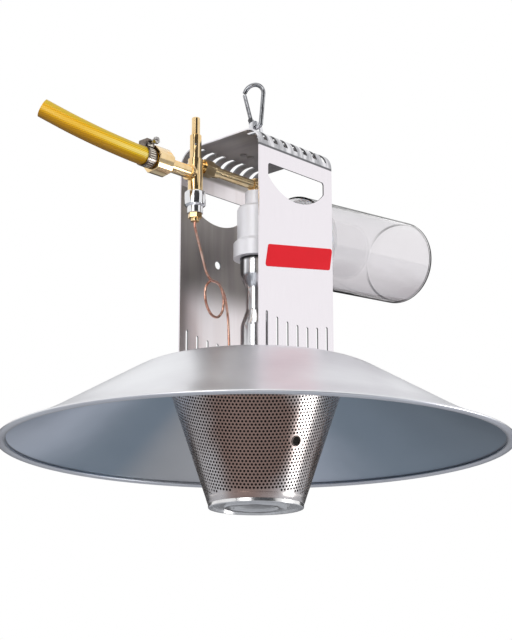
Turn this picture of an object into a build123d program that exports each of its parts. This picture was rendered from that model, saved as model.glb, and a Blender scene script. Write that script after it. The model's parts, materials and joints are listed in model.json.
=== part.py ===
# Hanging gas brooder: a spun reflector dish under an inverted-U bracket, a perforated cone
# burner, a brass gas line with a safety valve, a clear dust-filter bowl and a snap hook.
# Millimetres, +Z up. The origin is where the part hangs: on the inside of the snap hook's
# upper bow, straight above the eye of the lug. +X runs along the gas line from the hose
# towards the filter, and the bracket's two panels face -Y and +Y.
import math
import os

from build123d import *

os.makedirs("parts", exist_ok=True)


def save(builder, name):
    """Label a finished piece and write its STEP file."""
    builder.part.label = name
    export_step(builder.part, f"parts/{name}.step")


# Fits shared by neighbouring pieces
RUNNING_GAP = 0.06
LOOSE_GAP = 0.3

# Shares of the size beside it that a rounded edge takes
DOME_SHARE = 0.85
HEAD_SHARE = 0.6
EDGE_SHARE = 0.25

# Snap hook
HOOK_WIRE_R = 2.25
HOOK_TOP_BOW_R = 10.6
HOOK_LOW_BOW_R = 5.5
HOOK_BOW_SHIFT = 2.4
HOOK_SPINE = 31.35
HOOK_NOSE_RISE_DEG = 16.0
HOOK_TWIST_DEG = 20.0
GATE_WIRE_R = 2.0
GATE_PIN_R = 0.9
GATE_FORK_R = 2.6
GATE_CHEEK_T = 1.2
GATE_TIP_GAP = 1.4
GATE_SLOT_ROOM = 0.5
GATE_RIVET_HEAD_R = 1.7
GATE_RIVET_HEAD_T = 0.5

# Hanging lug on the bracket's top
LUG_T = 2.0
LUG_EYE_R = 5.2
LUG_EYE_RISE = 23.6
LUG_EYE_WALL = 4.6
LUG_FOOT = 22.0
LUG_RIVET_R = 2.0
LUG_RIVET_OUT = 12.5
LUG_RIVET_HEAD_R = 3.6
LUG_RIVET_HEAD_T = 1.4
LUG_RIVET_PITCH = 10.0

# Bracket
BRACKET_HEIGHT = 227.0
BRACKET_WIDTH = 106.8
BRACKET_DEPTH = 109.4
BRACKET_T = 1.5
BRACKET_BEND_R = 18.0
BRACKET_FOOT = 14.0
WINDOW_WIDTH = 82.0
WINDOW_FROM_TOP = 36.0
WINDOW_SIDE = 13.0
WINDOW_BELLY = 18.5
WINDOW_CORNER_R = 3.0
VENT_COUNT = 7
VENT_PITCH = 14.4
VENT_WIDTH = 3.2
VENT_FOOT = 6.0
VENT_TOP = 35.5
VENT_ARCH = 6.2
BEND_VENT_WIDTH = 6.0
BEND_VENT_FRONT = 24.0
BEND_VENT_BACK = 24.0
BEND_VENT_DROP = 13.5
BACK_HOLE_R = 4.2
BACK_HOLE_HEIGHT = 117.8

# Name plate, left plain
BADGE_WIDTH = 95.0
BADGE_HEIGHT = 22.0
BADGE_LEAN = 8.2
BADGE_T = 0.5
BADGE_CORNER_R = 2.5
BADGE_TILT_DEG = 9.7
BADGE_HEIGHT_ABOVE_DISH = 104.6
BADGE_SHIFT = 3.9

# Reflector dish
DISH_R = 250.0
DISH_DEPTH = 76.0
DISH_T = 1.2
DISH_SHOULDER_R = 60.0
DISH_SHOULDER_OUT = 18.0
DISH_FLARE = 38.0
DISH_FLARE_R = 300.0
DISH_FLARE_SAG = 3.0
DISH_BEAD_WIDTH = 9.0
DISH_BEAD_HEIGHT = 4.0

# Screws that clamp bracket, dish and burner together
SCREW_R = 2.0
SCREW_HEAD_R = 4.2
SCREW_HEAD_T = 2.6
SCREW_X = 38.0
SCREW_FROM_PANEL = 8.0
SCREW_ROOM = 0.2
NUT_FLATS = 7.0
NUT_T = 3.2

# Burner
BURNER_PLATE_T = 1.5
BURNER_PLATE_LEDGE = 0.9
CONE_TOP_R = 90.6
CONE_LOW_R = 46.3
CONE_DROP = 130.3
CONE_T = 0.8
CONE_FLANGE_T = 1.0
CONE_FLANGE = 9.4
PORT_R = 4.8
PORT_AZIMUTH_DEG = -100.6
PORT_DROP = 78.0
CORE_GAP = 9.0
CORE_NUT_ROOM = 3.8
CORE_LIFT = 8.0
CAP_SETBACK = 0.2
CAP_T = 3.7
CAP_RIM = 3.0
CAP_SHEET = 1.2
CAP_RING_IN = 22.0
CAP_RING_OUT = 30.0
CAP_RING_RISE = 1.2

# Mixing tube
TUBE_FOOT_R = 15.5
TUBE_THROAT_R = 10.2
TUBE_MOUTH_R = 16.0
TUBE_T = 1.2
TUBE_FOOT_HEIGHT = 44.0
TUBE_THROAT_LOW = 59.0
TUBE_THROAT_HIGH = 83.0
TUBE_MOUTH_HEIGHT = 95.5
TUBE_LIP = 3.5
TUBE_LIP_T = 1.5
TUBE_BEND_R = 12.0
LOCKNUT_FLATS = 38.0
LOCKNUT_T = 6.0

# Mixer casting
MIXER_LOW = 113.0
MIXER_STEP = 128.6
MIXER_SHOULDER = 168.0
MIXER_TOP = 183.0
COLLAR_R = 22.7
CUP_R = 18.9
NECK_R = 11.0
CUP_WALL = 3.9
MIXER_SEAT = 123.0
SPOUT_R = 15.0
SPOUT_WALL = 2.5
SPOUT_REACH = 56.0
CUP_ROUND = 5.0

# Injector
ELBOW_R = 6.2
ELBOW_BOSS_R = 6.0
ELBOW_BOSS_REACH = 7.0
JET_HOLDER_R = 5.0
JET_HOLDER_DROP = 12.0
JET_R = 3.2
JET_LENGTH = 10.0
JET_HEX_LENGTH = 4.0
JET_BORE_R = 0.8

# Dust filter
FILTER_AXIS = 142.5
FILTER_TILT_DEG = 4.4
FILTER_R = 45.0
FILTER_WALL = 1.8
FILTER_NEAR = 57.0
FILTER_FAR = 233.4
FILTER_END_ROUND = 5.0
FILTER_CAP_T = 2.0
FILTER_CAP_RIM = 18.0
FILTER_CAP_SETBACK = 1.5
FILTER_SOCKET_WALL = 2.2
FILTER_SOCKET_REACH = 14.0
FILTER_SEAL_T = 1.5
FILTER_SEAL_WIDTH = 5.0
ELEMENT_R = 30.0
ELEMENT_WALL = 2.0
ELEMENT_LENGTH = 82.0

# Gas line
GAS_AXIS = 190.3
SUPPLY_R = 5.0
SUPPLY_BORE_R = 2.8
SUPPLY_SEAT = 4.0
OUTLET_NUT_FLATS = 14.5
OUTLET_NUT_GRIP = 3.0
OUTLET_NUT_LENGTH = 13.0
OUTLET_CONE_LENGTH = 8.0
OUTLET_CONE_R = 6.2

# Safety valve
VALVE_X = -86.0
VALVE_R = 7.3
VALVE_ABOVE_AXIS = 5.0
VALVE_BELOW_AXIS = 27.8
INLET_DROP = 9.8
INLET_R = 6.5
INLET_REACH = 45.0
INLET_RING_T = 3.0
OUTLET_R = 4.8
OUTLET_REACH = 12.0
BONNET_R = 5.7
BONNET_HEIGHT = 25.3
BONNET_FLOOR = 5.0
BUTTON_R = 4.1
BUTTON_PROUD = 18.3
BUTTON_TRAVEL = 5.0
BUTTON_ROD_R = 1.9
BUTTON_SPRING_LENGTH = 8.0
BUTTON_ROD_END_GAP = 1.5
STOP_PIN_R = 0.9
STOP_PIN_HEIGHT = 14.0
STOP_PIN_AZIMUTH_DEG = -137.0
BORE_FLOOR = 1.6

# Flame sensor
MAGNET_R = 10.2
MAGNET_LENGTH = 15.5
MAGNET_NECK_R = 7.6
MAGNET_NECK_LENGTH = 7.0
MAGNET_BEVEL = 1.5
SENSOR_NUT_FLATS = 12.0
SENSOR_NUT_LENGTH = 8.0
SENSOR_NUT_HEX = 4.8
SENSOR_NUT_NECK_R = 4.1
LEAD_R = 1.3
LEAD_STRAIGHT = 6.0
LEAD_LOOP_R = 17.6
LEAD_LOOP_CORNERS = 8
LEAD_LOOP_STEP = 4.6
LEAD_LOOP_AT = 47.0
LEAD_LOOP_HEIGHT = 66.3
LEAD_DROP_HEIGHT = 24.0
LEAD_BELOW_PLATE = 4.0
BUSH_X = -6.9
BUSH_FROM_FOOT = 3.9
BUSH_R = 3.2
BUSH_HEAD_R = 5.2
BUSH_HEAD_T = 2.5
PROBE_R = 2.4
PROBE_LENGTH = 34.0

# Bends of the lead before and after its loop: distance from the valve's axis, height above the dish
LEAD_RUN_IN = [(28.0, 82.0)]
LEAD_RUN_OUT = [(60.0, 87.5), (75.0, 77.0), (82.0, 56.0)]

# Hose and its fittings
UNION_FLATS = 24.5
UNION_LENGTH = 18.6
UNION_GRIP = 5.0
UNION_BEVEL = 1.2
UNION_TURN_DEG = -9.0
TAIL_FLANGE_T = 4.0
TAIL_BARB_R = 4.65
TAIL_BARB_LENGTH = 9.5
TAIL_BORE_R = 2.8
TAIL_RIDGE = 0.5
TAIL_RIDGE_LENGTH = 2.6
TAIL_RIDGES = 3
HOSE_R = 9.0
HOSE_BORE_R = 4.75
CLAMP_T = 0.8
CLAMP_WIDTH = 11.0
CLAMP_FROM_UNION = 1.0
CLAMP_TAIL = 10.0
CLAMP_TAIL_WIDTH = 9.0
CLAMP_BOX = (11.0, 10.0, 7.5)
CLAMP_SCREW_R = 2.4
CLAMP_SCREW_LENGTH = 17.0
CLAMP_SCREW_HEAD_R = 3.6
CLAMP_SCREW_HEAD_T = 3.0

# Bends of the hose: distance from the union nut, sideways, rise above the inlet's axis
HOSE_ROUTE = [
    (15.9, 0.0, 0.0),
    (31.3, 2.9, 2.4),
    (51.6, 8.7, 7.0),
    (70.3, 17.0, 13.8),
    (86.8, 27.8, 22.5),
    (100.5, 40.5, 32.9),
]

# Heights worked out downwards from the hanging point
hook_inner_r = HOOK_TOP_BOW_R - HOOK_WIRE_R
TOP_BOW_Z = -math.sqrt(hook_inner_r**2 - HOOK_BOW_SHIFT**2)
LOW_BOW_Z = TOP_BOW_Z - HOOK_SPINE
SWING_Z = LOW_BOW_Z - HOOK_LOW_BOW_R
EYE_Z = SWING_Z - (LUG_EYE_R - HOOK_WIRE_R - LOOSE_GAP)
TOP_Z = EYE_Z - LUG_EYE_RISE
PLATE_Z = TOP_Z - BRACKET_HEIGHT
RIM_Z = PLATE_Z - DISH_DEPTH
DISH_UNDER_Z = PLATE_Z - DISH_T
BURNER_Z = DISH_UNDER_Z - BURNER_PLATE_T
CONE_LOW_Z = BURNER_Z - CONE_DROP
GAS_Z = PLATE_Z + GAS_AXIS
INLET_Z = GAS_Z - INLET_DROP
VALVE_TOP_Z = GAS_Z + VALVE_ABOVE_AXIS
VALVE_LOW_Z = GAS_Z - VALVE_BELOW_AXIS
FILTER_Z = PLATE_Z + FILTER_AXIS
PANEL_Y = BRACKET_DEPTH / 2
SCREW_Y = PANEL_Y - BRACKET_T - SCREW_FROM_PANEL

# Snap hook: one bent wire, open on the gate's side
twist = math.radians(HOOK_TWIST_DEG)
hook_plane = Plane(
    origin=(0, 0, 0),
    x_dir=(math.sin(twist), -math.cos(twist), 0),
    z_dir=(-math.cos(twist), -math.sin(twist), 0),
)
PIVOT_U = -HOOK_LOW_BOW_R
PIVOT_Z = LOW_BOW_Z + GATE_FORK_R + LOOSE_GAP
bow_middles = math.hypot(HOOK_BOW_SHIFT, HOOK_SPINE)
spine_lean = math.asin((HOOK_TOP_BOW_R - HOOK_LOW_BOW_R) / bow_middles)
spine_lean -= math.atan2(HOOK_BOW_SHIFT, HOOK_SPINE)
nose_turn = math.radians(180 - HOOK_NOSE_RISE_DEG)


def top_bow(turn):
    """A point of the top bow's wire: across and up in the hook's plane."""
    across = HOOK_TOP_BOW_R * math.cos(turn) - HOOK_BOW_SHIFT
    return (across, TOP_BOW_Z + HOOK_TOP_BOW_R * math.sin(turn))


def low_bow(turn):
    """A point of the low bow's wire: across and up in the hook's plane."""
    return (HOOK_LOW_BOW_R * math.cos(turn), LOW_BOW_Z + HOOK_LOW_BOW_R * math.sin(turn))


with BuildPart() as snap_hook_body:
    with BuildLine(hook_plane) as hook_path:
        ThreePointArc(top_bow(nose_turn), top_bow(math.pi / 2), top_bow(-spine_lean))
        Line(top_bow(-spine_lean), low_bow(-spine_lean))
        ThreePointArc(low_bow(-spine_lean), low_bow(-math.pi / 2), low_bow(-math.pi))
    with BuildSketch(Plane(hook_path.line @ 0, z_dir=hook_path.line % 0)):
        Circle(HOOK_WIRE_R)
    sweep(path=hook_path.line)
    # Flat tongue on the bow's end, which the gate's fork straddles
    tongue_t = 2 * (GATE_WIRE_R - GATE_CHEEK_T + RUNNING_GAP)
    with BuildSketch(hook_plane.offset(-tongue_t / 2)):
        with Locations((PIVOT_U, PIVOT_Z)):
            Circle(GATE_FORK_R)
        with Locations((PIVOT_U, (LOW_BOW_Z + PIVOT_Z) / 2)):
            Rectangle(2 * HOOK_WIRE_R, PIVOT_Z - LOW_BOW_Z)
    extrude(amount=tongue_t)
    with BuildSketch(hook_plane):
        with Locations((PIVOT_U, PIVOT_Z)):
            Circle(GATE_PIN_R + RUNNING_GAP)
    extrude(amount=2 * HOOK_WIRE_R, both=True, mode=Mode.SUBTRACT)
save(snap_hook_body, "snap_hook_body")

# Gate of the snap hook: a round bar with a fork at its pivot and a domed tip
nose_u, nose_z = top_bow(nose_turn)
gate_across = nose_u - GATE_TIP_GAP * math.sin(nose_turn) - PIVOT_U
gate_rise = nose_z + GATE_TIP_GAP * math.cos(nose_turn) - PIVOT_Z
gate_run = math.hypot(gate_across, gate_rise)
gate_axis = hook_plane.x_dir * gate_across + Vector(0, 0, gate_rise)
gate_foot = hook_plane.x_dir * PIVOT_U + Vector(0, 0, PIVOT_Z)
gate_plane = Plane(origin=gate_foot, x_dir=hook_plane.z_dir, z_dir=gate_axis)
with BuildPart() as snap_hook_gate:
    with BuildSketch(gate_plane):
        Circle(GATE_WIRE_R)
    extrude(amount=gate_run)
    gate_tip = snap_hook_gate.edges().filter_by(GeomType.CIRCLE).sort_by(Axis.Z)[-1]
    fillet(gate_tip, GATE_WIRE_R * DOME_SHARE)
    with BuildSketch(hook_plane):
        with Locations((PIVOT_U, PIVOT_Z)):
            Circle(GATE_FORK_R)
    extrude(amount=GATE_WIRE_R, both=True)
    with BuildSketch(hook_plane):
        with Locations((PIVOT_U, PIVOT_Z)):
            Circle(GATE_FORK_R + GATE_SLOT_ROOM)
    extrude(amount=tongue_t / 2 + LOOSE_GAP, both=True, mode=Mode.SUBTRACT)
    with BuildSketch(hook_plane):
        with Locations((PIVOT_U, PIVOT_Z)):
            Circle(GATE_PIN_R + RUNNING_GAP)
    extrude(amount=2 * GATE_WIRE_R, both=True, mode=Mode.SUBTRACT)
save(snap_hook_gate, "snap_hook_gate")

# Rivet that the gate turns on
with BuildPart() as gate_rivet:
    with BuildSketch(hook_plane):
        with Locations((PIVOT_U, PIVOT_Z)):
            Circle(GATE_PIN_R)
    extrude(amount=GATE_WIRE_R + LOOSE_GAP, both=True)
    for side in (-1, 1):
        with BuildSketch(hook_plane.offset(side * (GATE_WIRE_R + LOOSE_GAP))):
            with Locations((PIVOT_U, PIVOT_Z)):
                Circle(GATE_RIVET_HEAD_R)
        extrude(amount=side * GATE_RIVET_HEAD_T)
save(gate_rivet, "gate_rivet")

# Lug: an upright tab with the hanging eye, and a foot riveted on the bracket's top
LUG_HALF_WIDTH = LUG_EYE_R + LUG_EYE_WALL
with BuildPart() as hanging_lug:
    with BuildSketch(Plane.XZ):
        with Locations((0, (TOP_Z + EYE_Z) / 2)):
            Rectangle(2 * LUG_HALF_WIDTH, EYE_Z - TOP_Z)
        with Locations((0, EYE_Z)):
            Circle(LUG_HALF_WIDTH)
            Circle(LUG_EYE_R, mode=Mode.SUBTRACT)
    extrude(amount=LUG_T / 2, both=True)
    with BuildSketch(Plane.XY.offset(TOP_Z)):
        with Locations((0, LUG_FOOT / 2)):
            Rectangle(2 * LUG_HALF_WIDTH, LUG_FOOT)
    extrude(amount=LUG_T)
    lug_rounds = hanging_lug.edges().filter_by(GeomType.CIRCLE)
    fillet(lug_rounds.filter_by(lambda e: e.radius < LUG_EYE_R + RUNNING_GAP), LUG_T * EDGE_SHARE)
    with BuildSketch(Plane.XY.offset(TOP_Z)):
        with Locations((0, LUG_RIVET_OUT)):
            with GridLocations(LUG_RIVET_PITCH, 0, 2, 1):
                Circle(LUG_RIVET_R + RUNNING_GAP)
    extrude(amount=LUG_T, mode=Mode.SUBTRACT)
save(hanging_lug, "hanging_lug")

# Two rivets through the lug's foot and the bracket's top
with BuildPart() as lug_rivets:
    with BuildSketch(Plane.XY.offset(TOP_Z - BRACKET_T)):
        with Locations((0, LUG_RIVET_OUT)):
            with GridLocations(LUG_RIVET_PITCH, 0, 2, 1):
                Circle(LUG_RIVET_R)
    extrude(amount=BRACKET_T + LUG_T)
    for level, rise in ((TOP_Z + LUG_T, LUG_RIVET_HEAD_T), (TOP_Z - BRACKET_T, -LUG_RIVET_HEAD_T)):
        with BuildSketch(Plane.XY.offset(level)):
            with Locations((0, LUG_RIVET_OUT)):
                with GridLocations(LUG_RIVET_PITCH, 0, 2, 1):
                    Circle(LUG_RIVET_HEAD_R)
        extrude(amount=rise)
    rivet_tops = lug_rivets.edges().filter_by(GeomType.CIRCLE).group_by(Axis.Z)
    fillet(rivet_tops[-1] + rivet_tops[0], LUG_RIVET_HEAD_T * HEAD_SHARE)
save(lug_rivets, "lug_rivets")

# Bracket: one folded sheet with handle windows, foot vents and vents over both bends
vent_xs = [(i - (VENT_COUNT - 1) / 2) * VENT_PITCH for i in range(VENT_COUNT)]
vent_end_x = max(vent_xs)
window_top_z = TOP_Z - WINDOW_FROM_TOP
window_side_z = window_top_z - WINDOW_SIDE
with BuildPart() as bracket:
    with BuildSketch(Plane.YZ) as outer_fold:
        with Locations((0, (PLATE_Z + TOP_Z) / 2)):
            Rectangle(BRACKET_DEPTH, BRACKET_HEIGHT)
        fillet(outer_fold.vertices().group_by(Axis.Y)[-1], BRACKET_BEND_R)
    extrude(amount=BRACKET_WIDTH / 2, both=True)
    with BuildSketch(Plane.YZ) as inner_fold:
        with Locations((0, (PLATE_Z + TOP_Z) / 2)):
            Rectangle(BRACKET_DEPTH - 2 * BRACKET_T, BRACKET_HEIGHT - 2 * BRACKET_T)
        fillet(inner_fold.vertices().group_by(Axis.Y)[-1], BRACKET_BEND_R - BRACKET_T)
        with Locations((0, PLATE_Z + BRACKET_T)):
            Rectangle(BRACKET_DEPTH - 2 * BRACKET_T - 2 * BRACKET_FOOT, 4 * BRACKET_T)
    extrude(amount=BRACKET_WIDTH / 2, both=True, mode=Mode.SUBTRACT)
    with BuildSketch(Plane.XZ) as window:
        with BuildLine():
            Polyline(
                (-WINDOW_WIDTH / 2, window_side_z),
                (-WINDOW_WIDTH / 2, window_top_z),
                (WINDOW_WIDTH / 2, window_top_z),
                (WINDOW_WIDTH / 2, window_side_z),
            )
            ThreePointArc(
                (WINDOW_WIDTH / 2, window_side_z),
                (0, window_side_z - WINDOW_BELLY),
                (-WINDOW_WIDTH / 2, window_side_z),
            )
        make_face()
        fillet(window.vertices(), WINDOW_CORNER_R)
    extrude(amount=BRACKET_DEPTH, both=True, mode=Mode.SUBTRACT)
    with BuildSketch(Plane.XZ):
        for x in vent_xs:
            vent_top = VENT_TOP + VENT_ARCH * (x / vent_end_x) ** 2
            with Locations((x, PLATE_Z + (VENT_FOOT + vent_top) / 2)):
                SlotOverall(vent_top - VENT_FOOT, VENT_WIDTH, rotation=90)
    extrude(amount=BRACKET_DEPTH, both=True, mode=Mode.SUBTRACT)
    vent_mid_z = TOP_Z + (BRACKET_T - BEND_VENT_DROP) / 2
    for side, run in ((-1, BEND_VENT_FRONT), (1, BEND_VENT_BACK)):
        vent_mid_y = side * (PANEL_Y + (BRACKET_T - run) / 2)
        with Locations([(x, vent_mid_y, vent_mid_z) for x in vent_xs]):
            Box(BEND_VENT_WIDTH, run + BRACKET_T, BEND_VENT_DROP + BRACKET_T, mode=Mode.SUBTRACT)
    with BuildSketch(Plane.XZ.offset(-PANEL_Y)):
        with Locations((0, PLATE_Z + BACK_HOLE_HEIGHT)):
            Circle(BACK_HOLE_R)
    extrude(amount=2 * BRACKET_T, both=True, mode=Mode.SUBTRACT)
    with BuildSketch(Plane.XY.offset(PLATE_Z)):
        with GridLocations(2 * SCREW_X, 2 * SCREW_Y, 2, 2):
            Circle(SCREW_R + SCREW_ROOM)
    extrude(amount=BRACKET_T, mode=Mode.SUBTRACT)
    with BuildSketch(Plane.XY.offset(TOP_Z - BRACKET_T)):
        with Locations((0, LUG_RIVET_OUT)):
            with GridLocations(LUG_RIVET_PITCH, 0, 2, 1):
                Circle(LUG_RIVET_R + RUNNING_GAP)
    extrude(amount=BRACKET_T, mode=Mode.SUBTRACT)
save(bracket, "bracket")

# Plain leaning plate bonded on the front panel
with BuildPart() as badge_plate:
    with BuildSketch(Plane.XZ.offset(PANEL_Y)):
        badge_at = (BADGE_SHIFT, PLATE_Z + BADGE_HEIGHT_ABOVE_DISH, 0)
        with Locations(Location(badge_at, (0, 0, BADGE_TILT_DEG))):
            Polygon(
                (-(BADGE_WIDTH + BADGE_LEAN) / 2, -BADGE_HEIGHT / 2),
                ((BADGE_WIDTH - BADGE_LEAN) / 2, -BADGE_HEIGHT / 2),
                ((BADGE_WIDTH + BADGE_LEAN) / 2, BADGE_HEIGHT / 2),
                (-(BADGE_WIDTH - BADGE_LEAN) / 2, BADGE_HEIGHT / 2),
            )
        fillet(vertices(), radius=BADGE_CORNER_R)
    extrude(amount=BADGE_T)
save(badge_plate, "badge_plate")

# Where the sensor lead comes down through the dish, beside the bracket's foot, and the lead's plane
bush_y = PANEL_Y - BRACKET_T - BRACKET_FOOT - BUSH_FROM_FOOT - BUSH_HEAD_R
bush_span = math.hypot(BUSH_X - VALVE_X, bush_y)
lead_drop_at = math.sqrt(bush_span**2 - LEAD_LOOP_STEP**2)
lead_turn = math.atan2(bush_y, BUSH_X - VALVE_X) - math.asin(LEAD_LOOP_STEP / bush_span)
lead_dir = Vector(math.cos(lead_turn), math.sin(lead_turn), 0)
lead_side = Vector(-math.sin(lead_turn), math.cos(lead_turn), 0)


def lead_point(along, aside, height):
    """A point of the lead: distance from the valve's axis in its plane, sideways, above the dish."""
    return Vector(VALVE_X, 0, PLATE_Z + height) + lead_dir * along + lead_side * aside


# Reflector dish: spun sheet with a flat crown, a rounded shoulder, a flatter flare and a flat-rolled rim
burner_plate_r = CONE_TOP_R + BURNER_PLATE_LEDGE
shoulder_r = burner_plate_r + DISH_SHOULDER_OUT
crown_z = PLATE_Z - DISH_T / 2
rim_r = DISH_R - DISH_BEAD_WIDTH / 2
rim_end_z = RIM_Z + DISH_BEAD_HEIGHT / 4
flare_r = DISH_R - DISH_FLARE
flare_share = (flare_r - shoulder_r) / (rim_r - shoulder_r)
flare_z = crown_z + (rim_end_z - crown_z) * flare_share - DISH_FLARE_SAG
with BuildPart() as reflector_dish:
    with BuildSketch(Plane.XZ):
        with BuildLine():
            FilletPolyline(
                (TUBE_FOOT_R + LOOSE_GAP, crown_z),
                (shoulder_r, crown_z),
                (flare_r, flare_z),
                (rim_r, rim_end_z),
                radius=[DISH_SHOULDER_R, DISH_FLARE_R],
            )
        trace(line_width=DISH_T)
        with Locations((rim_r, RIM_Z)):
            Ellipse(DISH_BEAD_WIDTH / 2, DISH_BEAD_HEIGHT / 2)
    revolve(axis=Axis.Z)
    with BuildSketch(Plane.XY.offset(PLATE_Z)):
        with GridLocations(2 * SCREW_X, 2 * SCREW_Y, 2, 2):
            Circle(SCREW_R + SCREW_ROOM)
        with Locations((BUSH_X, bush_y)):
            Circle(BUSH_R + RUNNING_GAP)
    extrude(amount=2 * DISH_T, both=True, mode=Mode.SUBTRACT)
save(reflector_dish, "reflector_dish")

# Burner plate under the dish's crown
with BuildPart() as burner_plate:
    with BuildSketch(Plane.XY.offset(BURNER_Z)):
        Circle(burner_plate_r)
        Circle(TUBE_FOOT_R + LOOSE_GAP, mode=Mode.SUBTRACT)
        with GridLocations(2 * SCREW_X, 2 * SCREW_Y, 2, 2):
            Circle(SCREW_R + SCREW_ROOM, mode=Mode.SUBTRACT)
        with Locations((BUSH_X, bush_y)):
            Circle(BUSH_R + RUNNING_GAP, mode=Mode.SUBTRACT)
    extrude(amount=BURNER_PLATE_T)
save(burner_plate, "burner_plate")

# Emitter cone: the outer sheet of the burner, with a welding flange and a lighting port
port_turn = math.radians(PORT_AZIMUTH_DEG)
port_plane = Plane(
    origin=(0, 0, BURNER_Z - PORT_DROP),
    x_dir=(-math.sin(port_turn), math.cos(port_turn), 0),
    z_dir=(math.cos(port_turn), math.sin(port_turn), 0),
)
cone_slope = (CONE_TOP_R - CONE_LOW_R) / CONE_DROP
with BuildPart() as emitter_cone:
    with BuildSketch(Plane.XZ):
        with BuildLine():
            Polyline(
                (CONE_TOP_R, BURNER_Z),
                (CONE_LOW_R, CONE_LOW_Z),
                (CONE_LOW_R - CONE_T, CONE_LOW_Z),
                (CONE_TOP_R - CONE_T - cone_slope * CONE_FLANGE_T, BURNER_Z - CONE_FLANGE_T),
                (CONE_TOP_R - CONE_FLANGE, BURNER_Z - CONE_FLANGE_T),
                (CONE_TOP_R - CONE_FLANGE, BURNER_Z),
                close=True,
            )
        make_face()
    revolve(axis=Axis.Z)
    with BuildSketch(port_plane):
        Circle(PORT_R)
    extrude(amount=CONE_TOP_R, mode=Mode.SUBTRACT)
save(emitter_cone, "emitter_cone")

# Burner core: the inner gauze cone with a closed end
core_top_r = CONE_TOP_R - CONE_FLANGE - LOOSE_GAP
core_low_z = CONE_LOW_Z + CORE_LIFT
core_low_r = CONE_LOW_R - CONE_T + cone_slope * CORE_LIFT - CORE_GAP
core_slope = (core_top_r - core_low_r) / (BURNER_Z - core_low_z)
core_flange_r = math.hypot(SCREW_X, SCREW_Y) + NUT_FLATS / math.sqrt(3) + CORE_NUT_ROOM
with BuildPart() as burner_core:
    with BuildSketch(Plane.XZ):
        with BuildLine():
            Polyline(
                (core_top_r, BURNER_Z),
                (core_low_r, core_low_z),
                (0, core_low_z),
                (0, core_low_z + CONE_FLANGE_T),
                (core_low_r - CONE_T + core_slope * CONE_FLANGE_T, core_low_z + CONE_FLANGE_T),
                (core_top_r - CONE_T - core_slope * CONE_FLANGE_T, BURNER_Z - CONE_FLANGE_T),
                (core_flange_r, BURNER_Z - CONE_FLANGE_T),
                (core_flange_r, BURNER_Z),
                close=True,
            )
        make_face()
    revolve(axis=Axis.Z)
save(burner_core, "burner_core")

# Burner cap: a pressed disc with a raised ring, closing the cone's lower end
cap_low_z = CONE_LOW_Z - CAP_T
cap_r = CONE_LOW_R - CAP_SETBACK
with BuildPart() as burner_cap:
    with BuildSketch(Plane.XZ):
        with BuildLine():
            Polyline(
                (0, CONE_LOW_Z - CAP_SHEET),
                (0, CONE_LOW_Z - 2 * CAP_SHEET),
                (CAP_RING_IN - CAP_RING_RISE, CONE_LOW_Z - 2 * CAP_SHEET),
                (CAP_RING_IN, CONE_LOW_Z - 2 * CAP_SHEET - CAP_RING_RISE),
                (CAP_RING_OUT, CONE_LOW_Z - 2 * CAP_SHEET - CAP_RING_RISE),
                (CAP_RING_OUT + CAP_RING_RISE, CONE_LOW_Z - 2 * CAP_SHEET),
                (cap_r - CAP_RIM, CONE_LOW_Z - 2 * CAP_SHEET),
                (cap_r - CAP_RIM, cap_low_z),
                (cap_r, cap_low_z),
                (cap_r, CONE_LOW_Z),
                (cap_r - CAP_RIM, CONE_LOW_Z),
                (cap_r - CAP_RIM, CONE_LOW_Z - CAP_SHEET),
                close=True,
            )
        make_face()
    revolve(axis=Axis.Z)
    cap_rounds = burner_cap.edges().filter_by(GeomType.CIRCLE)
    cap_rims = cap_rounds.filter_by(lambda e: e.radius > cap_r - CAP_RIM / 2)
    fillet(cap_rims.sort_by(Axis.Z)[0], CAP_RIM * EDGE_SHARE)
save(burner_cap, "burner_cap")

# Four screws from the bracket's feet down through dish and burner plate
with BuildPart() as frame_screws:
    with BuildSketch(Plane.XY.offset(PLATE_Z + BRACKET_T)):
        with GridLocations(2 * SCREW_X, 2 * SCREW_Y, 2, 2):
            Circle(SCREW_HEAD_R)
    extrude(amount=SCREW_HEAD_T)
    fillet(frame_screws.edges().filter_by(GeomType.CIRCLE).group_by(Axis.Z)[-1], SCREW_HEAD_T * HEAD_SHARE)
    with BuildSketch(Plane.XY.offset(PLATE_Z + BRACKET_T)):
        with GridLocations(2 * SCREW_X, 2 * SCREW_Y, 2, 2):
            Circle(SCREW_R)
    extrude(amount=-(BRACKET_T + DISH_T + BURNER_PLATE_T + NUT_T + SCREW_R))
save(frame_screws, "frame_screws")

# Their nuts, inside the burner
with BuildPart() as frame_nuts:
    with BuildSketch(Plane.XY.offset(BURNER_Z - NUT_T)):
        with GridLocations(2 * SCREW_X, 2 * SCREW_Y, 2, 2):
            RegularPolygon(NUT_FLATS / 2, 6, major_radius=False)
            Circle(SCREW_R + RUNNING_GAP, mode=Mode.SUBTRACT)
    extrude(amount=NUT_T)
save(frame_nuts, "frame_nuts")

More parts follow.
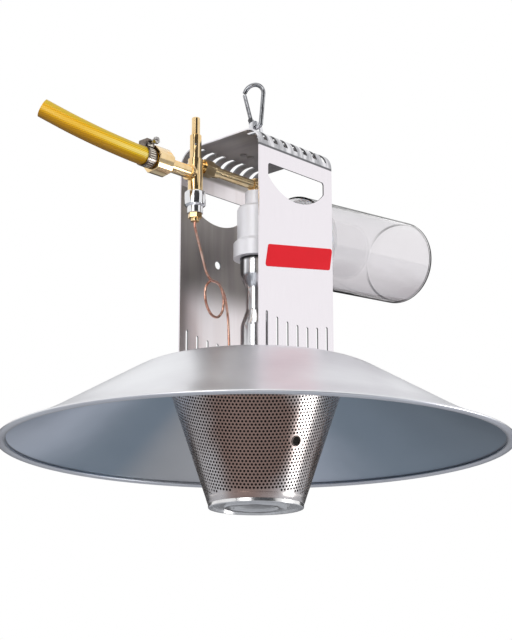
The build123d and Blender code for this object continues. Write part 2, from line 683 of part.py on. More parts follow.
# Mixing tube: a drawn venturi from the mixer down into the burner
tube_low_z = BURNER_Z - TUBE_LIP_T
with BuildPart() as mixing_tube:
    with BuildSketch(Plane.XZ):
        with BuildLine():
            FilletPolyline(
                (TUBE_FOOT_R - TUBE_T / 2, tube_low_z),
                (TUBE_FOOT_R - TUBE_T / 2, PLATE_Z + TUBE_FOOT_HEIGHT),
                (TUBE_THROAT_R - TUBE_T / 2, PLATE_Z + TUBE_THROAT_LOW),
                (TUBE_THROAT_R - TUBE_T / 2, PLATE_Z + TUBE_THROAT_HIGH),
                (TUBE_MOUTH_R - TUBE_T / 2, PLATE_Z + TUBE_MOUTH_HEIGHT),
                (TUBE_MOUTH_R - TUBE_T / 2, PLATE_Z + MIXER_SEAT),
                radius=TUBE_BEND_R,
            )
        trace(line_width=TUBE_T)
        with Locations((TUBE_FOOT_R + (TUBE_LIP - TUBE_T) / 2, tube_low_z + TUBE_LIP_T / 2)):
            Rectangle(TUBE_LIP + TUBE_T, TUBE_LIP_T)
    revolve(axis=Axis.Z)
save(mixing_tube, "mixing_tube")

# Locknut that holds the mixing tube down on the dish
with BuildPart() as tube_locknut:
    with BuildSketch(Plane.XY.offset(PLATE_Z)):
        RegularPolygon(LOCKNUT_FLATS / 2, 6, major_radius=False)
        Circle(TUBE_FOOT_R + RUNNING_GAP, mode=Mode.SUBTRACT)
    extrude(amount=LOCKNUT_T)
    chamfer(tube_locknut.edges().group_by(Axis.Z)[-1].filter_by(GeomType.LINE), LOCKNUT_T * EDGE_SHARE)
save(tube_locknut, "tube_locknut")

# Axis of the dust filter, tilted up a little towards its far end
tilt = math.radians(FILTER_TILT_DEG)
filter_plane = Plane(
    origin=(0, 0, FILTER_Z),
    x_dir=(0, 1, 0),
    z_dir=(math.cos(tilt), 0, math.sin(tilt)),
)

# Mixer casting: neck for the jet, cup, collar over the mixing tube and a side spout for air
with BuildPart() as mixer_body:
    with BuildSketch(Plane.XZ):
        with BuildLine():
            Polyline(
                (0, PLATE_Z + MIXER_LOW),
                (COLLAR_R, PLATE_Z + MIXER_LOW),
                (COLLAR_R, PLATE_Z + MIXER_STEP),
                (CUP_R, PLATE_Z + MIXER_STEP + COLLAR_R - CUP_R),
                (CUP_R, PLATE_Z + MIXER_SHOULDER),
                (NECK_R, PLATE_Z + MIXER_SHOULDER),
                (NECK_R, PLATE_Z + MIXER_TOP),
                (0, PLATE_Z + MIXER_TOP),
                close=True,
            )
        make_face()
    revolve(axis=Axis.Z)
    shoulder_edges = mixer_body.edges().filter_by(GeomType.CIRCLE)
    shoulder = shoulder_edges.filter_by_position(
        Axis.Z, PLATE_Z + MIXER_SHOULDER - RUNNING_GAP, PLATE_Z + MIXER_SHOULDER + RUNNING_GAP
    )
    fillet(shoulder.sort_by(SortBy.RADIUS)[-1], CUP_ROUND)
    with BuildSketch(filter_plane.offset(CUP_R - CUP_WALL)):
        Circle(SPOUT_R)
    extrude(amount=SPOUT_REACH - CUP_R + CUP_WALL)
    with BuildSketch(Plane.XY.offset(PLATE_Z + MIXER_LOW)):
        Circle(TUBE_MOUTH_R + LOOSE_GAP)
    extrude(amount=MIXER_SEAT - MIXER_LOW, mode=Mode.SUBTRACT)
    with BuildSketch(Plane.XY.offset(PLATE_Z + MIXER_SEAT)):
        Circle(CUP_R - CUP_WALL)
    extrude(amount=MIXER_SHOULDER - CUP_WALL - MIXER_SEAT, mode=Mode.SUBTRACT)
    with BuildSketch(Plane.XY.offset(PLATE_Z + MIXER_TOP)):
        Circle(JET_HOLDER_R + RUNNING_GAP)
    extrude(amount=-(MIXER_TOP - MIXER_SHOULDER + 2 * CUP_WALL), mode=Mode.SUBTRACT)
    with BuildSketch(filter_plane):
        Circle(SPOUT_R - SPOUT_WALL)
    extrude(amount=SPOUT_REACH, mode=Mode.SUBTRACT)
save(mixer_body, "mixer_body")

# Injector elbow on the mixer's neck, which turns the gas downwards
gas_plane = Plane(origin=(0, 0, GAS_Z), x_dir=(0, 1, 0), z_dir=(1, 0, 0))
with BuildPart() as injector_elbow:
    with BuildSketch(Plane.XY.offset(PLATE_Z + MIXER_TOP)):
        Circle(ELBOW_R)
    extrude(amount=GAS_Z + ELBOW_R - PLATE_Z - MIXER_TOP)
    with BuildSketch(gas_plane.offset(-ELBOW_BOSS_REACH)):
        Circle(ELBOW_BOSS_R)
    extrude(amount=2 * ELBOW_BOSS_REACH)
    with BuildSketch(Plane.XY.offset(PLATE_Z + MIXER_TOP)):
        Circle(JET_HOLDER_R)
    extrude(amount=-JET_HOLDER_DROP)
    with BuildSketch(gas_plane.offset(-ELBOW_BOSS_REACH)):
        Circle(SUPPLY_R + RUNNING_GAP)
    extrude(amount=SUPPLY_SEAT, mode=Mode.SUBTRACT)
    with BuildSketch(gas_plane.offset(-ELBOW_BOSS_REACH)):
        Circle(SUPPLY_BORE_R)
    extrude(amount=ELBOW_BOSS_REACH, mode=Mode.SUBTRACT)
    with BuildSketch(Plane.XY.offset(GAS_Z)):
        Circle(SUPPLY_BORE_R)
    extrude(amount=-(GAS_Z - PLATE_Z - MIXER_TOP + JET_HOLDER_DROP), mode=Mode.SUBTRACT)
save(injector_elbow, "injector_elbow")

# Jet at the end of the injector
jet_top_z = PLATE_Z + MIXER_TOP - JET_HOLDER_DROP
with BuildPart() as injector_jet:
    with BuildSketch(Plane.XY.offset(jet_top_z)):
        RegularPolygon(JET_HOLDER_R, 6)
    extrude(amount=-JET_HEX_LENGTH)
    with BuildSketch(Plane.XY.offset(jet_top_z)):
        Circle(JET_R)
    extrude(amount=-JET_LENGTH)
    chamfer(injector_jet.edges().group_by(Axis.Z)[0], JET_R * EDGE_SHARE)
    with BuildSketch(Plane.XY.offset(jet_top_z)):
        Circle(JET_BORE_R)
    extrude(amount=-JET_LENGTH, mode=Mode.SUBTRACT)
save(injector_jet, "injector_jet")

# Filter end cap: a socket on the mixer's spout and a rim inside the bowl's mouth
cap_near = FILTER_NEAR + FILTER_CAP_SETBACK
bowl_inner_r = FILTER_R - FILTER_WALL
cap_rim_r = bowl_inner_r - FILTER_SEAL_T
with BuildPart() as filter_end_cap:
    with BuildSketch(filter_plane.offset(cap_near)):
        Circle(cap_rim_r)
    extrude(amount=FILTER_CAP_RIM)
    with BuildSketch(filter_plane.offset(cap_near + FILTER_CAP_T)):
        Circle(cap_rim_r - FILTER_CAP_T)
    extrude(amount=FILTER_CAP_RIM - FILTER_CAP_T, mode=Mode.SUBTRACT)
    with BuildSketch(filter_plane.offset(cap_near)):
        Circle(SPOUT_R + RUNNING_GAP + FILTER_SOCKET_WALL)
    extrude(amount=-FILTER_SOCKET_REACH)
    with BuildSketch(filter_plane.offset(cap_near - FILTER_SOCKET_REACH)):
        Circle(SPOUT_R + RUNNING_GAP)
    extrude(amount=FILTER_SOCKET_REACH, mode=Mode.SUBTRACT)
    with BuildSketch(filter_plane.offset(cap_near)):
        Circle(SPOUT_R - SPOUT_WALL)
    extrude(amount=FILTER_CAP_T, mode=Mode.SUBTRACT)
save(filter_end_cap, "filter_end_cap")

# Rubber seal on the cap's rim
with BuildPart() as filter_seal:
    with BuildSketch(filter_plane.offset(cap_near + FILTER_CAP_RIM / 2 - FILTER_SEAL_WIDTH / 2)):
        Circle(bowl_inner_r - RUNNING_GAP)
        Circle(cap_rim_r + RUNNING_GAP, mode=Mode.SUBTRACT)
    extrude(amount=FILTER_SEAL_WIDTH)
save(filter_seal, "filter_seal")

# Filter element: a felt sleeve with a closed end, standing on the cap
with BuildPart() as filter_element:
    with BuildSketch(filter_plane.offset(cap_near + FILTER_CAP_T)):
        Circle(ELEMENT_R)
    extrude(amount=ELEMENT_LENGTH)
    with BuildSketch(filter_plane.offset(cap_near + FILTER_CAP_T)):
        Circle(ELEMENT_R - ELEMENT_WALL)
    extrude(amount=ELEMENT_LENGTH - ELEMENT_WALL, mode=Mode.SUBTRACT)
save(filter_element, "filter_element")

# Filter bowl: a clear cup that pulls off the end cap
with BuildPart() as filter_bowl:
    with BuildSketch(filter_plane.offset(FILTER_NEAR)):
        Circle(FILTER_R)
    extrude(amount=FILTER_FAR - FILTER_NEAR)
    fillet(filter_bowl.edges().sort_by(Axis.X)[-1], FILTER_END_ROUND)
    offset(amount=-FILTER_WALL, openings=filter_bowl.faces().sort_by(Axis.X)[0])
save(filter_bowl, "filter_bowl")

# Supply tube from the valve's outlet to the elbow
tube_left = VALVE_X + OUTLET_REACH
tube_right = -ELBOW_BOSS_REACH + SUPPLY_SEAT
with BuildPart() as supply_tube:
    with BuildSketch(gas_plane.offset(tube_left)):
        Circle(SUPPLY_R)
        Circle(SUPPLY_BORE_R, mode=Mode.SUBTRACT)
    extrude(amount=tube_right - tube_left)
save(supply_tube, "supply_tube")

# Gland nut that holds the supply tube on the valve
nut_left = tube_left - OUTLET_NUT_GRIP
with BuildPart() as outlet_nut:
    with BuildSketch(gas_plane.offset(nut_left)):
        RegularPolygon(OUTLET_NUT_FLATS / 2, 6, major_radius=False)
    extrude(amount=OUTLET_NUT_LENGTH)
    with BuildSketch(gas_plane.offset(nut_left + OUTLET_NUT_LENGTH)):
        Circle(OUTLET_NUT_FLATS / 2)
    with BuildSketch(gas_plane.offset(nut_left + OUTLET_NUT_LENGTH + OUTLET_CONE_LENGTH)):
        Circle(OUTLET_CONE_R)
    loft()
    with BuildSketch(gas_plane.offset(nut_left)):
        Circle(OUTLET_R + RUNNING_GAP)
    extrude(amount=OUTLET_NUT_GRIP, mode=Mode.SUBTRACT)
    with BuildSketch(gas_plane.offset(nut_left)):
        Circle(SUPPLY_R + RUNNING_GAP)
    extrude(amount=OUTLET_NUT_LENGTH + OUTLET_CONE_LENGTH, mode=Mode.SUBTRACT)
save(outlet_nut, "outlet_nut")

# Safety valve body: an upright barrel with a low inlet and a high outlet
inlet_plane = Plane(origin=(0, 0, INLET_Z), x_dir=(0, 1, 0), z_dir=(1, 0, 0))
inlet_end = VALVE_X - INLET_REACH
with BuildPart() as valve_body:
    with BuildSketch(Plane.XY.offset(VALVE_LOW_Z)):
        with Locations((VALVE_X, 0)):
            Circle(VALVE_R)
    extrude(amount=VALVE_TOP_Z - VALVE_LOW_Z)
    with BuildSketch(inlet_plane.offset(inlet_end)):
        Circle(INLET_R)
    extrude(amount=INLET_REACH)
    with BuildSketch(inlet_plane.offset(VALVE_X - VALVE_R - INLET_RING_T)):
        Circle(INLET_R + INLET_RING_T / 2)
    extrude(amount=INLET_RING_T)
    with BuildSketch(gas_plane.offset(VALVE_X)):
        Circle(OUTLET_R)
    extrude(amount=OUTLET_REACH)
    with BuildSketch(Plane.XY.offset(VALVE_TOP_Z)):
        with Locations((VALVE_X, 0)):
            Circle(BUTTON_ROD_R + RUNNING_GAP)
    extrude(amount=-(VALVE_TOP_Z - VALVE_LOW_Z - BORE_FLOOR), mode=Mode.SUBTRACT)
    with BuildSketch(inlet_plane.offset(inlet_end)):
        Circle(TAIL_BORE_R)
    extrude(amount=INLET_REACH, mode=Mode.SUBTRACT)
    with BuildSketch(gas_plane.offset(VALVE_X)):
        Circle(SUPPLY_BORE_R)
    extrude(amount=OUTLET_REACH, mode=Mode.SUBTRACT)
save(valve_body, "valve_body")

# Bonnet: the sleeve that guides the button
bonnet_top_z = VALVE_TOP_Z + BONNET_HEIGHT
bonnet_floor_z = VALVE_TOP_Z + BONNET_FLOOR
pin_z = VALVE_TOP_Z + STOP_PIN_HEIGHT
pin_turn = math.radians(STOP_PIN_AZIMUTH_DEG)
pin_plane = Plane(
    origin=(VALVE_X, 0, pin_z),
    x_dir=(-math.sin(pin_turn), math.cos(pin_turn), 0),
    z_dir=(math.cos(pin_turn), math.sin(pin_turn), 0),
)
pin_floor = BUTTON_R + RUNNING_GAP + (BONNET_R - BUTTON_R) / 3
with BuildPart() as valve_bonnet:
    with BuildSketch(Plane.XY.offset(VALVE_TOP_Z)):
        with Locations((VALVE_X, 0)):
            Circle(BONNET_R)
    extrude(amount=BONNET_HEIGHT)
    chamfer(valve_bonnet.edges().filter_by(GeomType.CIRCLE).sort_by(Axis.Z)[-1], (BONNET_R - BUTTON_R) / 3)
    with BuildSketch(Plane.XY.offset(bonnet_floor_z)):
        with Locations((VALVE_X, 0)):
            Circle(BUTTON_R + RUNNING_GAP)
    extrude(amount=BONNET_HEIGHT - BONNET_FLOOR, mode=Mode.SUBTRACT)
    with BuildSketch(Plane.XY.offset(VALVE_TOP_Z)):
        with Locations((VALVE_X, 0)):
            Circle(BUTTON_ROD_R + RUNNING_GAP)
    extrude(amount=BONNET_FLOOR, mode=Mode.SUBTRACT)
    with BuildSketch(pin_plane.offset(pin_floor)):
        Circle(STOP_PIN_R + RUNNING_GAP)
    extrude(amount=BONNET_R, mode=Mode.SUBTRACT)
save(valve_bonnet, "valve_bonnet")

# Set pin in the bonnet's wall
with BuildPart() as bonnet_pin:
    with BuildSketch(pin_plane.offset(pin_floor)):
        Circle(STOP_PIN_R)
    extrude(amount=BONNET_R + STOP_PIN_R / 2 - pin_floor)
save(bonnet_pin, "bonnet_pin")

# Push button with its rod
button_low_z = bonnet_floor_z + BUTTON_SPRING_LENGTH
rod_low_z = VALVE_LOW_Z + BORE_FLOOR + BUTTON_TRAVEL + BUTTON_ROD_END_GAP
with BuildPart() as push_button:
    with BuildSketch(Plane.XY.offset(button_low_z)):
        with Locations((VALVE_X, 0)):
            Circle(BUTTON_R)
    extrude(amount=bonnet_top_z + BUTTON_PROUD - button_low_z)
    fillet(push_button.edges().filter_by(GeomType.CIRCLE).sort_by(Axis.Z)[-1], BUTTON_R * EDGE_SHARE)
    with BuildSketch(Plane.XY.offset(rod_low_z)):
        with Locations((VALVE_X, 0)):
            Circle(BUTTON_ROD_R)
    extrude(amount=button_low_z - rod_low_z)
save(push_button, "push_button")

# Return spring of the button, kept as a plain sleeve inside the bonnet
with BuildPart() as button_spring:
    with BuildSketch(Plane.XY.offset(bonnet_floor_z)):
        with Locations((VALVE_X, 0)):
            Circle(BUTTON_R - RUNNING_GAP)
            Circle(BUTTON_ROD_R + LOOSE_GAP, mode=Mode.SUBTRACT)
    extrude(amount=BUTTON_SPRING_LENGTH)
save(button_spring, "button_spring")

# Magnet housing under the valve
magnet_step_z = VALVE_LOW_Z - MAGNET_LENGTH
magnet_low_z = magnet_step_z - MAGNET_NECK_LENGTH
with BuildPart() as magnet_housing:
    with BuildSketch(Plane.XY.offset(magnet_step_z)):
        with Locations((VALVE_X, 0)):
            Circle(MAGNET_R)
    extrude(amount=MAGNET_LENGTH)
    chamfer(magnet_housing.edges().filter_by(GeomType.CIRCLE), MAGNET_BEVEL)
    with BuildSketch(Plane.XY.offset(magnet_low_z)):
        with Locations((VALVE_X, 0)):
            Circle(MAGNET_NECK_R)
    extrude(amount=MAGNET_NECK_LENGTH)
save(magnet_housing, "magnet_housing")

# Nut of the flame sensor's lead
sensor_nut_low_z = magnet_low_z - SENSOR_NUT_LENGTH
with BuildPart() as sensor_nut:
    with BuildSketch(Plane.XY.offset(magnet_low_z)):
        with Locations((VALVE_X, 0)):
            RegularPolygon(SENSOR_NUT_FLATS / 2, 6, major_radius=False)
    extrude(amount=-SENSOR_NUT_HEX)
    with BuildSketch(Plane.XY.offset(magnet_low_z)):
        with Locations((VALVE_X, 0)):
            Circle(SENSOR_NUT_NECK_R)
    extrude(amount=-SENSOR_NUT_LENGTH)
save(sensor_nut, "sensor_nut")


def corner_radius(before, corner, after, share=0.45):
    """Largest fillet that uses a share of the shorter run beside a corner."""
    run_in = corner - before
    run_out = after - corner
    half_turn = math.radians(run_in.get_angle(run_out)) / 2
    return share * min(run_in.length, run_out.length) / math.tan(half_turn)


def route_radii(points):
    """One fillet radius for each inner corner of a route."""
    return [corner_radius(*points[i - 1 : i + 2]) for i in range(1, len(points) - 1)]


def own_gap(wire, tube_r, spacing, apart=8):
    """Least free gap between parts of a tube that are some radii apart along it, on points."""
    count = int(wire.length / spacing)
    samples = [wire @ (i / count) for i in range(count + 1)]
    skip = int(apart * tube_r / spacing) + 1
    pairs = ((i, j) for i in range(count + 1) for j in range(i + skip, count + 1))
    return min((samples[i] - samples[j]).length for i, j in pairs) - 2 * tube_r


# Sensor lead: copper capillary with one slack loop, down through the dish
lead_top = sensor_nut_low_z - PLATE_Z
lead_end = BURNER_Z - PLATE_Z - LEAD_BELOW_PLATE
loop_turn = 2 * math.pi / LEAD_LOOP_CORNERS
loop_corner_r = LEAD_LOOP_R / math.cos(loop_turn / 2)
lead_points = [lead_point(0, 0, lead_top), lead_point(0, 0, lead_top - LEAD_STRAIGHT)]
lead_points += [lead_point(along, 0, height) for along, height in LEAD_RUN_IN]
for i in range(LEAD_LOOP_CORNERS):
    angle = (1.5 - i) * loop_turn
    along = LEAD_LOOP_AT + loop_corner_r * math.cos(angle)
    aside = LEAD_LOOP_STEP * (i + 0.5) / LEAD_LOOP_CORNERS
    lead_points.append(lead_point(along, aside, LEAD_LOOP_HEIGHT + loop_corner_r * math.sin(angle)))
lead_points += [lead_point(along, LEAD_LOOP_STEP, height) for along, height in LEAD_RUN_OUT]
lead_points += [lead_point(lead_drop_at, LEAD_LOOP_STEP, h) for h in (LEAD_DROP_HEIGHT, lead_end)]
lead_radii = route_radii(lead_points)
with BuildPart() as sensor_lead:
    with BuildLine() as lead_path:
        FilletPolyline(*lead_points, radius=lead_radii)
    with BuildSketch(Plane(lead_path.line @ 0, z_dir=lead_path.line % 0)):
        Circle(LEAD_R)
    sweep(path=lead_path.line)
save(sensor_lead, "sensor_lead")
lead_wire = lead_path.wire()
lead_length = lead_wire.length
print("sensor_lead radii", [round(r, 1) for r in lead_radii], "length", round(lead_length, 1))
print("sensor_lead volume ratio", round(sensor_lead.part.volume / (math.pi * LEAD_R**2 * lead_length), 4))
print("sensor_lead least gap to itself", round(own_gap(lead_wire, LEAD_R, 1.0), 2))

# Bush that guides the lead through dish and burner plate
with BuildPart() as lead_bush:
    with BuildSketch(Plane.XY.offset(BURNER_Z)):
        with Locations((BUSH_X, bush_y)):
            Circle(BUSH_R)
    extrude(amount=PLATE_Z - BURNER_Z)
    with BuildSketch(Plane.XY.offset(PLATE_Z)):
        with Locations((BUSH_X, bush_y)):
            Circle(BUSH_HEAD_R)
    extrude(amount=BUSH_HEAD_T)
    with BuildSketch(Plane.XY.offset(BURNER_Z)):
        with Locations((BUSH_X, bush_y)):
            Circle(LEAD_R + RUNNING_GAP)
    extrude(amount=PLATE_Z + BUSH_HEAD_T - BURNER_Z, mode=Mode.SUBTRACT)
save(lead_bush, "lead_bush")

# Sensor probe at the lead's end, in the flame
with BuildPart() as sensor_probe:
    with BuildSketch(Plane.XY.offset(BURNER_Z - LEAD_BELOW_PLATE)):
        with Locations((BUSH_X, bush_y)):
            Circle(PROBE_R)
    extrude(amount=-PROBE_LENGTH)
    fillet(sensor_probe.edges().filter_by(GeomType.CIRCLE).sort_by(Axis.Z)[0], PROBE_R * DOME_SHARE)
save(sensor_probe, "sensor_probe")

# Union nut on the valve's inlet
union_right = inlet_end + UNION_GRIP
union_left = union_right - UNION_LENGTH
tail_seat = inlet_end - TAIL_FLANGE_T
with BuildPart() as union_nut:
    with BuildSketch(inlet_plane.offset(union_left)):
        RegularPolygon(UNION_FLATS / 2, 6, major_radius=False, rotation=UNION_TURN_DEG)
    extrude(amount=UNION_LENGTH)
    with BuildSketch(inlet_plane.offset(union_left)):
        Circle(UNION_FLATS / 2 + UNION_BEVEL)
    extrude(amount=UNION_LENGTH, mode=Mode.INTERSECT)
    with BuildSketch(inlet_plane.offset(union_left)):
        Circle(TAIL_BARB_R + LOOSE_GAP)
    extrude(amount=UNION_LENGTH, mode=Mode.SUBTRACT)
    with BuildSketch(inlet_plane.offset(tail_seat)):
        Circle(INLET_R + RUNNING_GAP)
    extrude(amount=union_right - tail_seat, mode=Mode.SUBTRACT)
save(union_nut, "union_nut")

# Hose tail: a flange under the nut and a ridged barb inside the hose
with BuildPart() as hose_tail:
    with BuildSketch(inlet_plane.offset(inlet_end)):
        Circle(INLET_R - RUNNING_GAP)
    extrude(amount=-TAIL_FLANGE_T)
    with BuildSketch(inlet_plane.offset(tail_seat)):
        Circle(TAIL_BARB_R - TAIL_RIDGE)
    extrude(amount=union_left - TAIL_BARB_LENGTH - tail_seat)
    for i in range(TAIL_RIDGES):
        ridge_x = union_left - TAIL_BARB_LENGTH * (i + 1) / TAIL_RIDGES
        with BuildSketch(inlet_plane.offset(ridge_x)):
            Circle(TAIL_BARB_R - TAIL_RIDGE)
        with BuildSketch(inlet_plane.offset(ridge_x + TAIL_RIDGE_LENGTH)):
            Circle(TAIL_BARB_R)
        loft()
    with BuildSketch(inlet_plane.offset(inlet_end)):
        Circle(TAIL_BORE_R)
    extrude(amount=union_left - TAIL_BARB_LENGTH - inlet_end, mode=Mode.SUBTRACT)
save(hose_tail, "hose_tail")

# Gas hose: a short free length from the union nut to its cut end
hose_start = union_left - LOOSE_GAP
hose_points = [Vector(hose_start, 0, INLET_Z)]
hose_points += [Vector(hose_start - away, aside, INLET_Z + rise) for away, aside, rise in HOSE_ROUTE]
hose_radii = route_radii(hose_points)
with BuildPart() as gas_hose:
    with BuildLine() as hose_path:
        FilletPolyline(*hose_points, radius=hose_radii)
    with BuildSketch(Plane(hose_path.line @ 0, z_dir=hose_path.line % 0)):
        Circle(HOSE_R)
        Circle(HOSE_BORE_R, mode=Mode.SUBTRACT)
    sweep(path=hose_path.line)
save(gas_hose, "gas_hose")
hose_wire = hose_path.wire()
hose_section = math.pi * (HOSE_R**2 - HOSE_BORE_R**2)
print("gas_hose radii", [round(r, 1) for r in hose_radii], "length", round(hose_wire.length, 1))
print("gas_hose volume ratio", round(gas_hose.part.volume / (hose_section * hose_wire.length), 4))
print("gas_hose end", hose_wire @ 1, "direction", hose_wire % 1)

# Worm clamp: band with its tail and the screw's housing
clamp_x = union_left - CLAMP_FROM_UNION - CLAMP_WIDTH / 2
clamp_in_r = HOSE_R + RUNNING_GAP
box_x, box_y, box_z = CLAMP_BOX
box_low_z = INLET_Z + clamp_in_r + CLAMP_T / 2
screw_z = box_low_z + box_z / 2
with BuildPart() as hose_clamp_band:
    with BuildSketch(inlet_plane.offset(clamp_x - CLAMP_WIDTH / 2)):
        Circle(clamp_in_r + CLAMP_T)
        Circle(clamp_in_r, mode=Mode.SUBTRACT)
    extrude(amount=CLAMP_WIDTH)
    with Locations((clamp_x, 0, box_low_z + box_z / 2)):
        Box(box_x, box_y, box_z)
    fillet(hose_clamp_band.edges().filter_by(Axis.Y).group_by(Axis.Z)[-1], box_z * EDGE_SHARE)
    with Locations((clamp_x, CLAMP_TAIL / 2, INLET_Z + clamp_in_r + CLAMP_T / 2)):
        Box(CLAMP_TAIL_WIDTH, CLAMP_TAIL, CLAMP_T)
    with BuildSketch(Plane.XZ):
        with Locations((clamp_x, screw_z)):
            Circle(CLAMP_SCREW_R + RUNNING_GAP)
    extrude(amount=box_y, both=True, mode=Mode.SUBTRACT)
save(hose_clamp_band, "hose_clamp_band")

# Worm screw of the clamp
with BuildPart() as hose_clamp_screw:
    with BuildSketch(Plane.XZ.offset(-box_y / 2)):
        with Locations((clamp_x, screw_z)):
            Circle(CLAMP_SCREW_R)
    extrude(amount=CLAMP_SCREW_LENGTH)
    with BuildSketch(Plane.XZ.offset(CLAMP_SCREW_LENGTH - box_y / 2)):
        with Locations((clamp_x, screw_z)):
            RegularPolygon(CLAMP_SCREW_HEAD_R, 6)
    extrude(amount=CLAMP_SCREW_HEAD_T)
    with Locations((clamp_x, box_y / 2 - CLAMP_SCREW_LENGTH - CLAMP_SCREW_HEAD_T, screw_z)):
        Box(2 * CLAMP_SCREW_HEAD_R, CLAMP_SCREW_HEAD_T, CLAMP_T, mode=Mode.SUBTRACT)
save(hose_clamp_screw, "hose_clamp_screw")
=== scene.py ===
import json
import math

import bmesh
import bpy
import numpy as np
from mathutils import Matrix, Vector


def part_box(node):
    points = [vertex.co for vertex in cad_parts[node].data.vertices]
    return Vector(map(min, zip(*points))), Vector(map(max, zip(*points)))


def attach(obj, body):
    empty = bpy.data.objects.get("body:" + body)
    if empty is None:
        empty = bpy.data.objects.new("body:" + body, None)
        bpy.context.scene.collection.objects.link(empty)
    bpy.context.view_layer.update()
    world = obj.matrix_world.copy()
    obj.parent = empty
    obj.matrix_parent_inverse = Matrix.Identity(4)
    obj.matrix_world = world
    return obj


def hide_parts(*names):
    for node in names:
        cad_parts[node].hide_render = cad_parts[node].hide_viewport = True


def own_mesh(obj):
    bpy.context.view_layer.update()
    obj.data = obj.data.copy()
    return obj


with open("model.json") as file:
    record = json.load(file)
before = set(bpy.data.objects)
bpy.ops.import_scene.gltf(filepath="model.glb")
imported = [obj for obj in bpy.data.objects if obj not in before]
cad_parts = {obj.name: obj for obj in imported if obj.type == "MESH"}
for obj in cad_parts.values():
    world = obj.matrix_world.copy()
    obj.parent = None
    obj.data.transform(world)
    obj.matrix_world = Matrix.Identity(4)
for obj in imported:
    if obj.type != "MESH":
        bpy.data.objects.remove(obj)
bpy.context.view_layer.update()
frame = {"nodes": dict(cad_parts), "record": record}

# Snap hook: a wire carabiner with a sprung gate on a rivet, plated in dark nickel.
# The wire is bent cold, so its ends are plain and its plating shows only fine handling marks.
bodies = frame["record"]["behaviour"]["bodies"]
body_of = {node: body for body, nodes in bodies.items() for node in nodes}
MERGE = 2e-6
FLAT = math.radians(0.6)
SHARP = math.radians(32)


def dress(piece, material, *nodes):
    """The piece stands for these nodes: it gets their body and the given material."""
    piece.data.materials.clear()
    piece.data.materials.append(material)
    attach(piece, body_of[nodes[0]])
    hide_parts(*nodes)
    return piece


def add_piece(name, mesh):
    """Link a mesh as an object at the origin, smooth but for its sharp edges."""
    mesh.polygons.foreach_set("use_smooth", np.ones(len(mesh.polygons), dtype=bool))
    mesh.set_sharp_from_angle(angle=SHARP)
    piece = bpy.data.objects.new(name, mesh)
    bpy.context.scene.collection.objects.link(piece)
    return piece


def softened(node, edge=0.0, segments=2):
    """A merged copy of a node's mesh, its flat faces joined and its sharp edges rounded by a bevel."""
    mesh = frame["nodes"][node].data.copy()
    work = bmesh.new()
    work.from_mesh(mesh)
    bmesh.ops.remove_doubles(work, verts=work.verts, dist=MERGE)
    bmesh.ops.dissolve_limit(work, angle_limit=FLAT, verts=work.verts, edges=work.edges)
    work.to_mesh(mesh)
    work.free()
    piece = add_piece(node + "_look", mesh)
    if edge:
        bevel = piece.modifiers.new("edge", "BEVEL")
        bevel.width = edge
        bevel.segments = segments
        bevel.limit_method = "ANGLE"
        bevel.angle_limit = SHARP
        bevel.harden_normals = True
    return piece


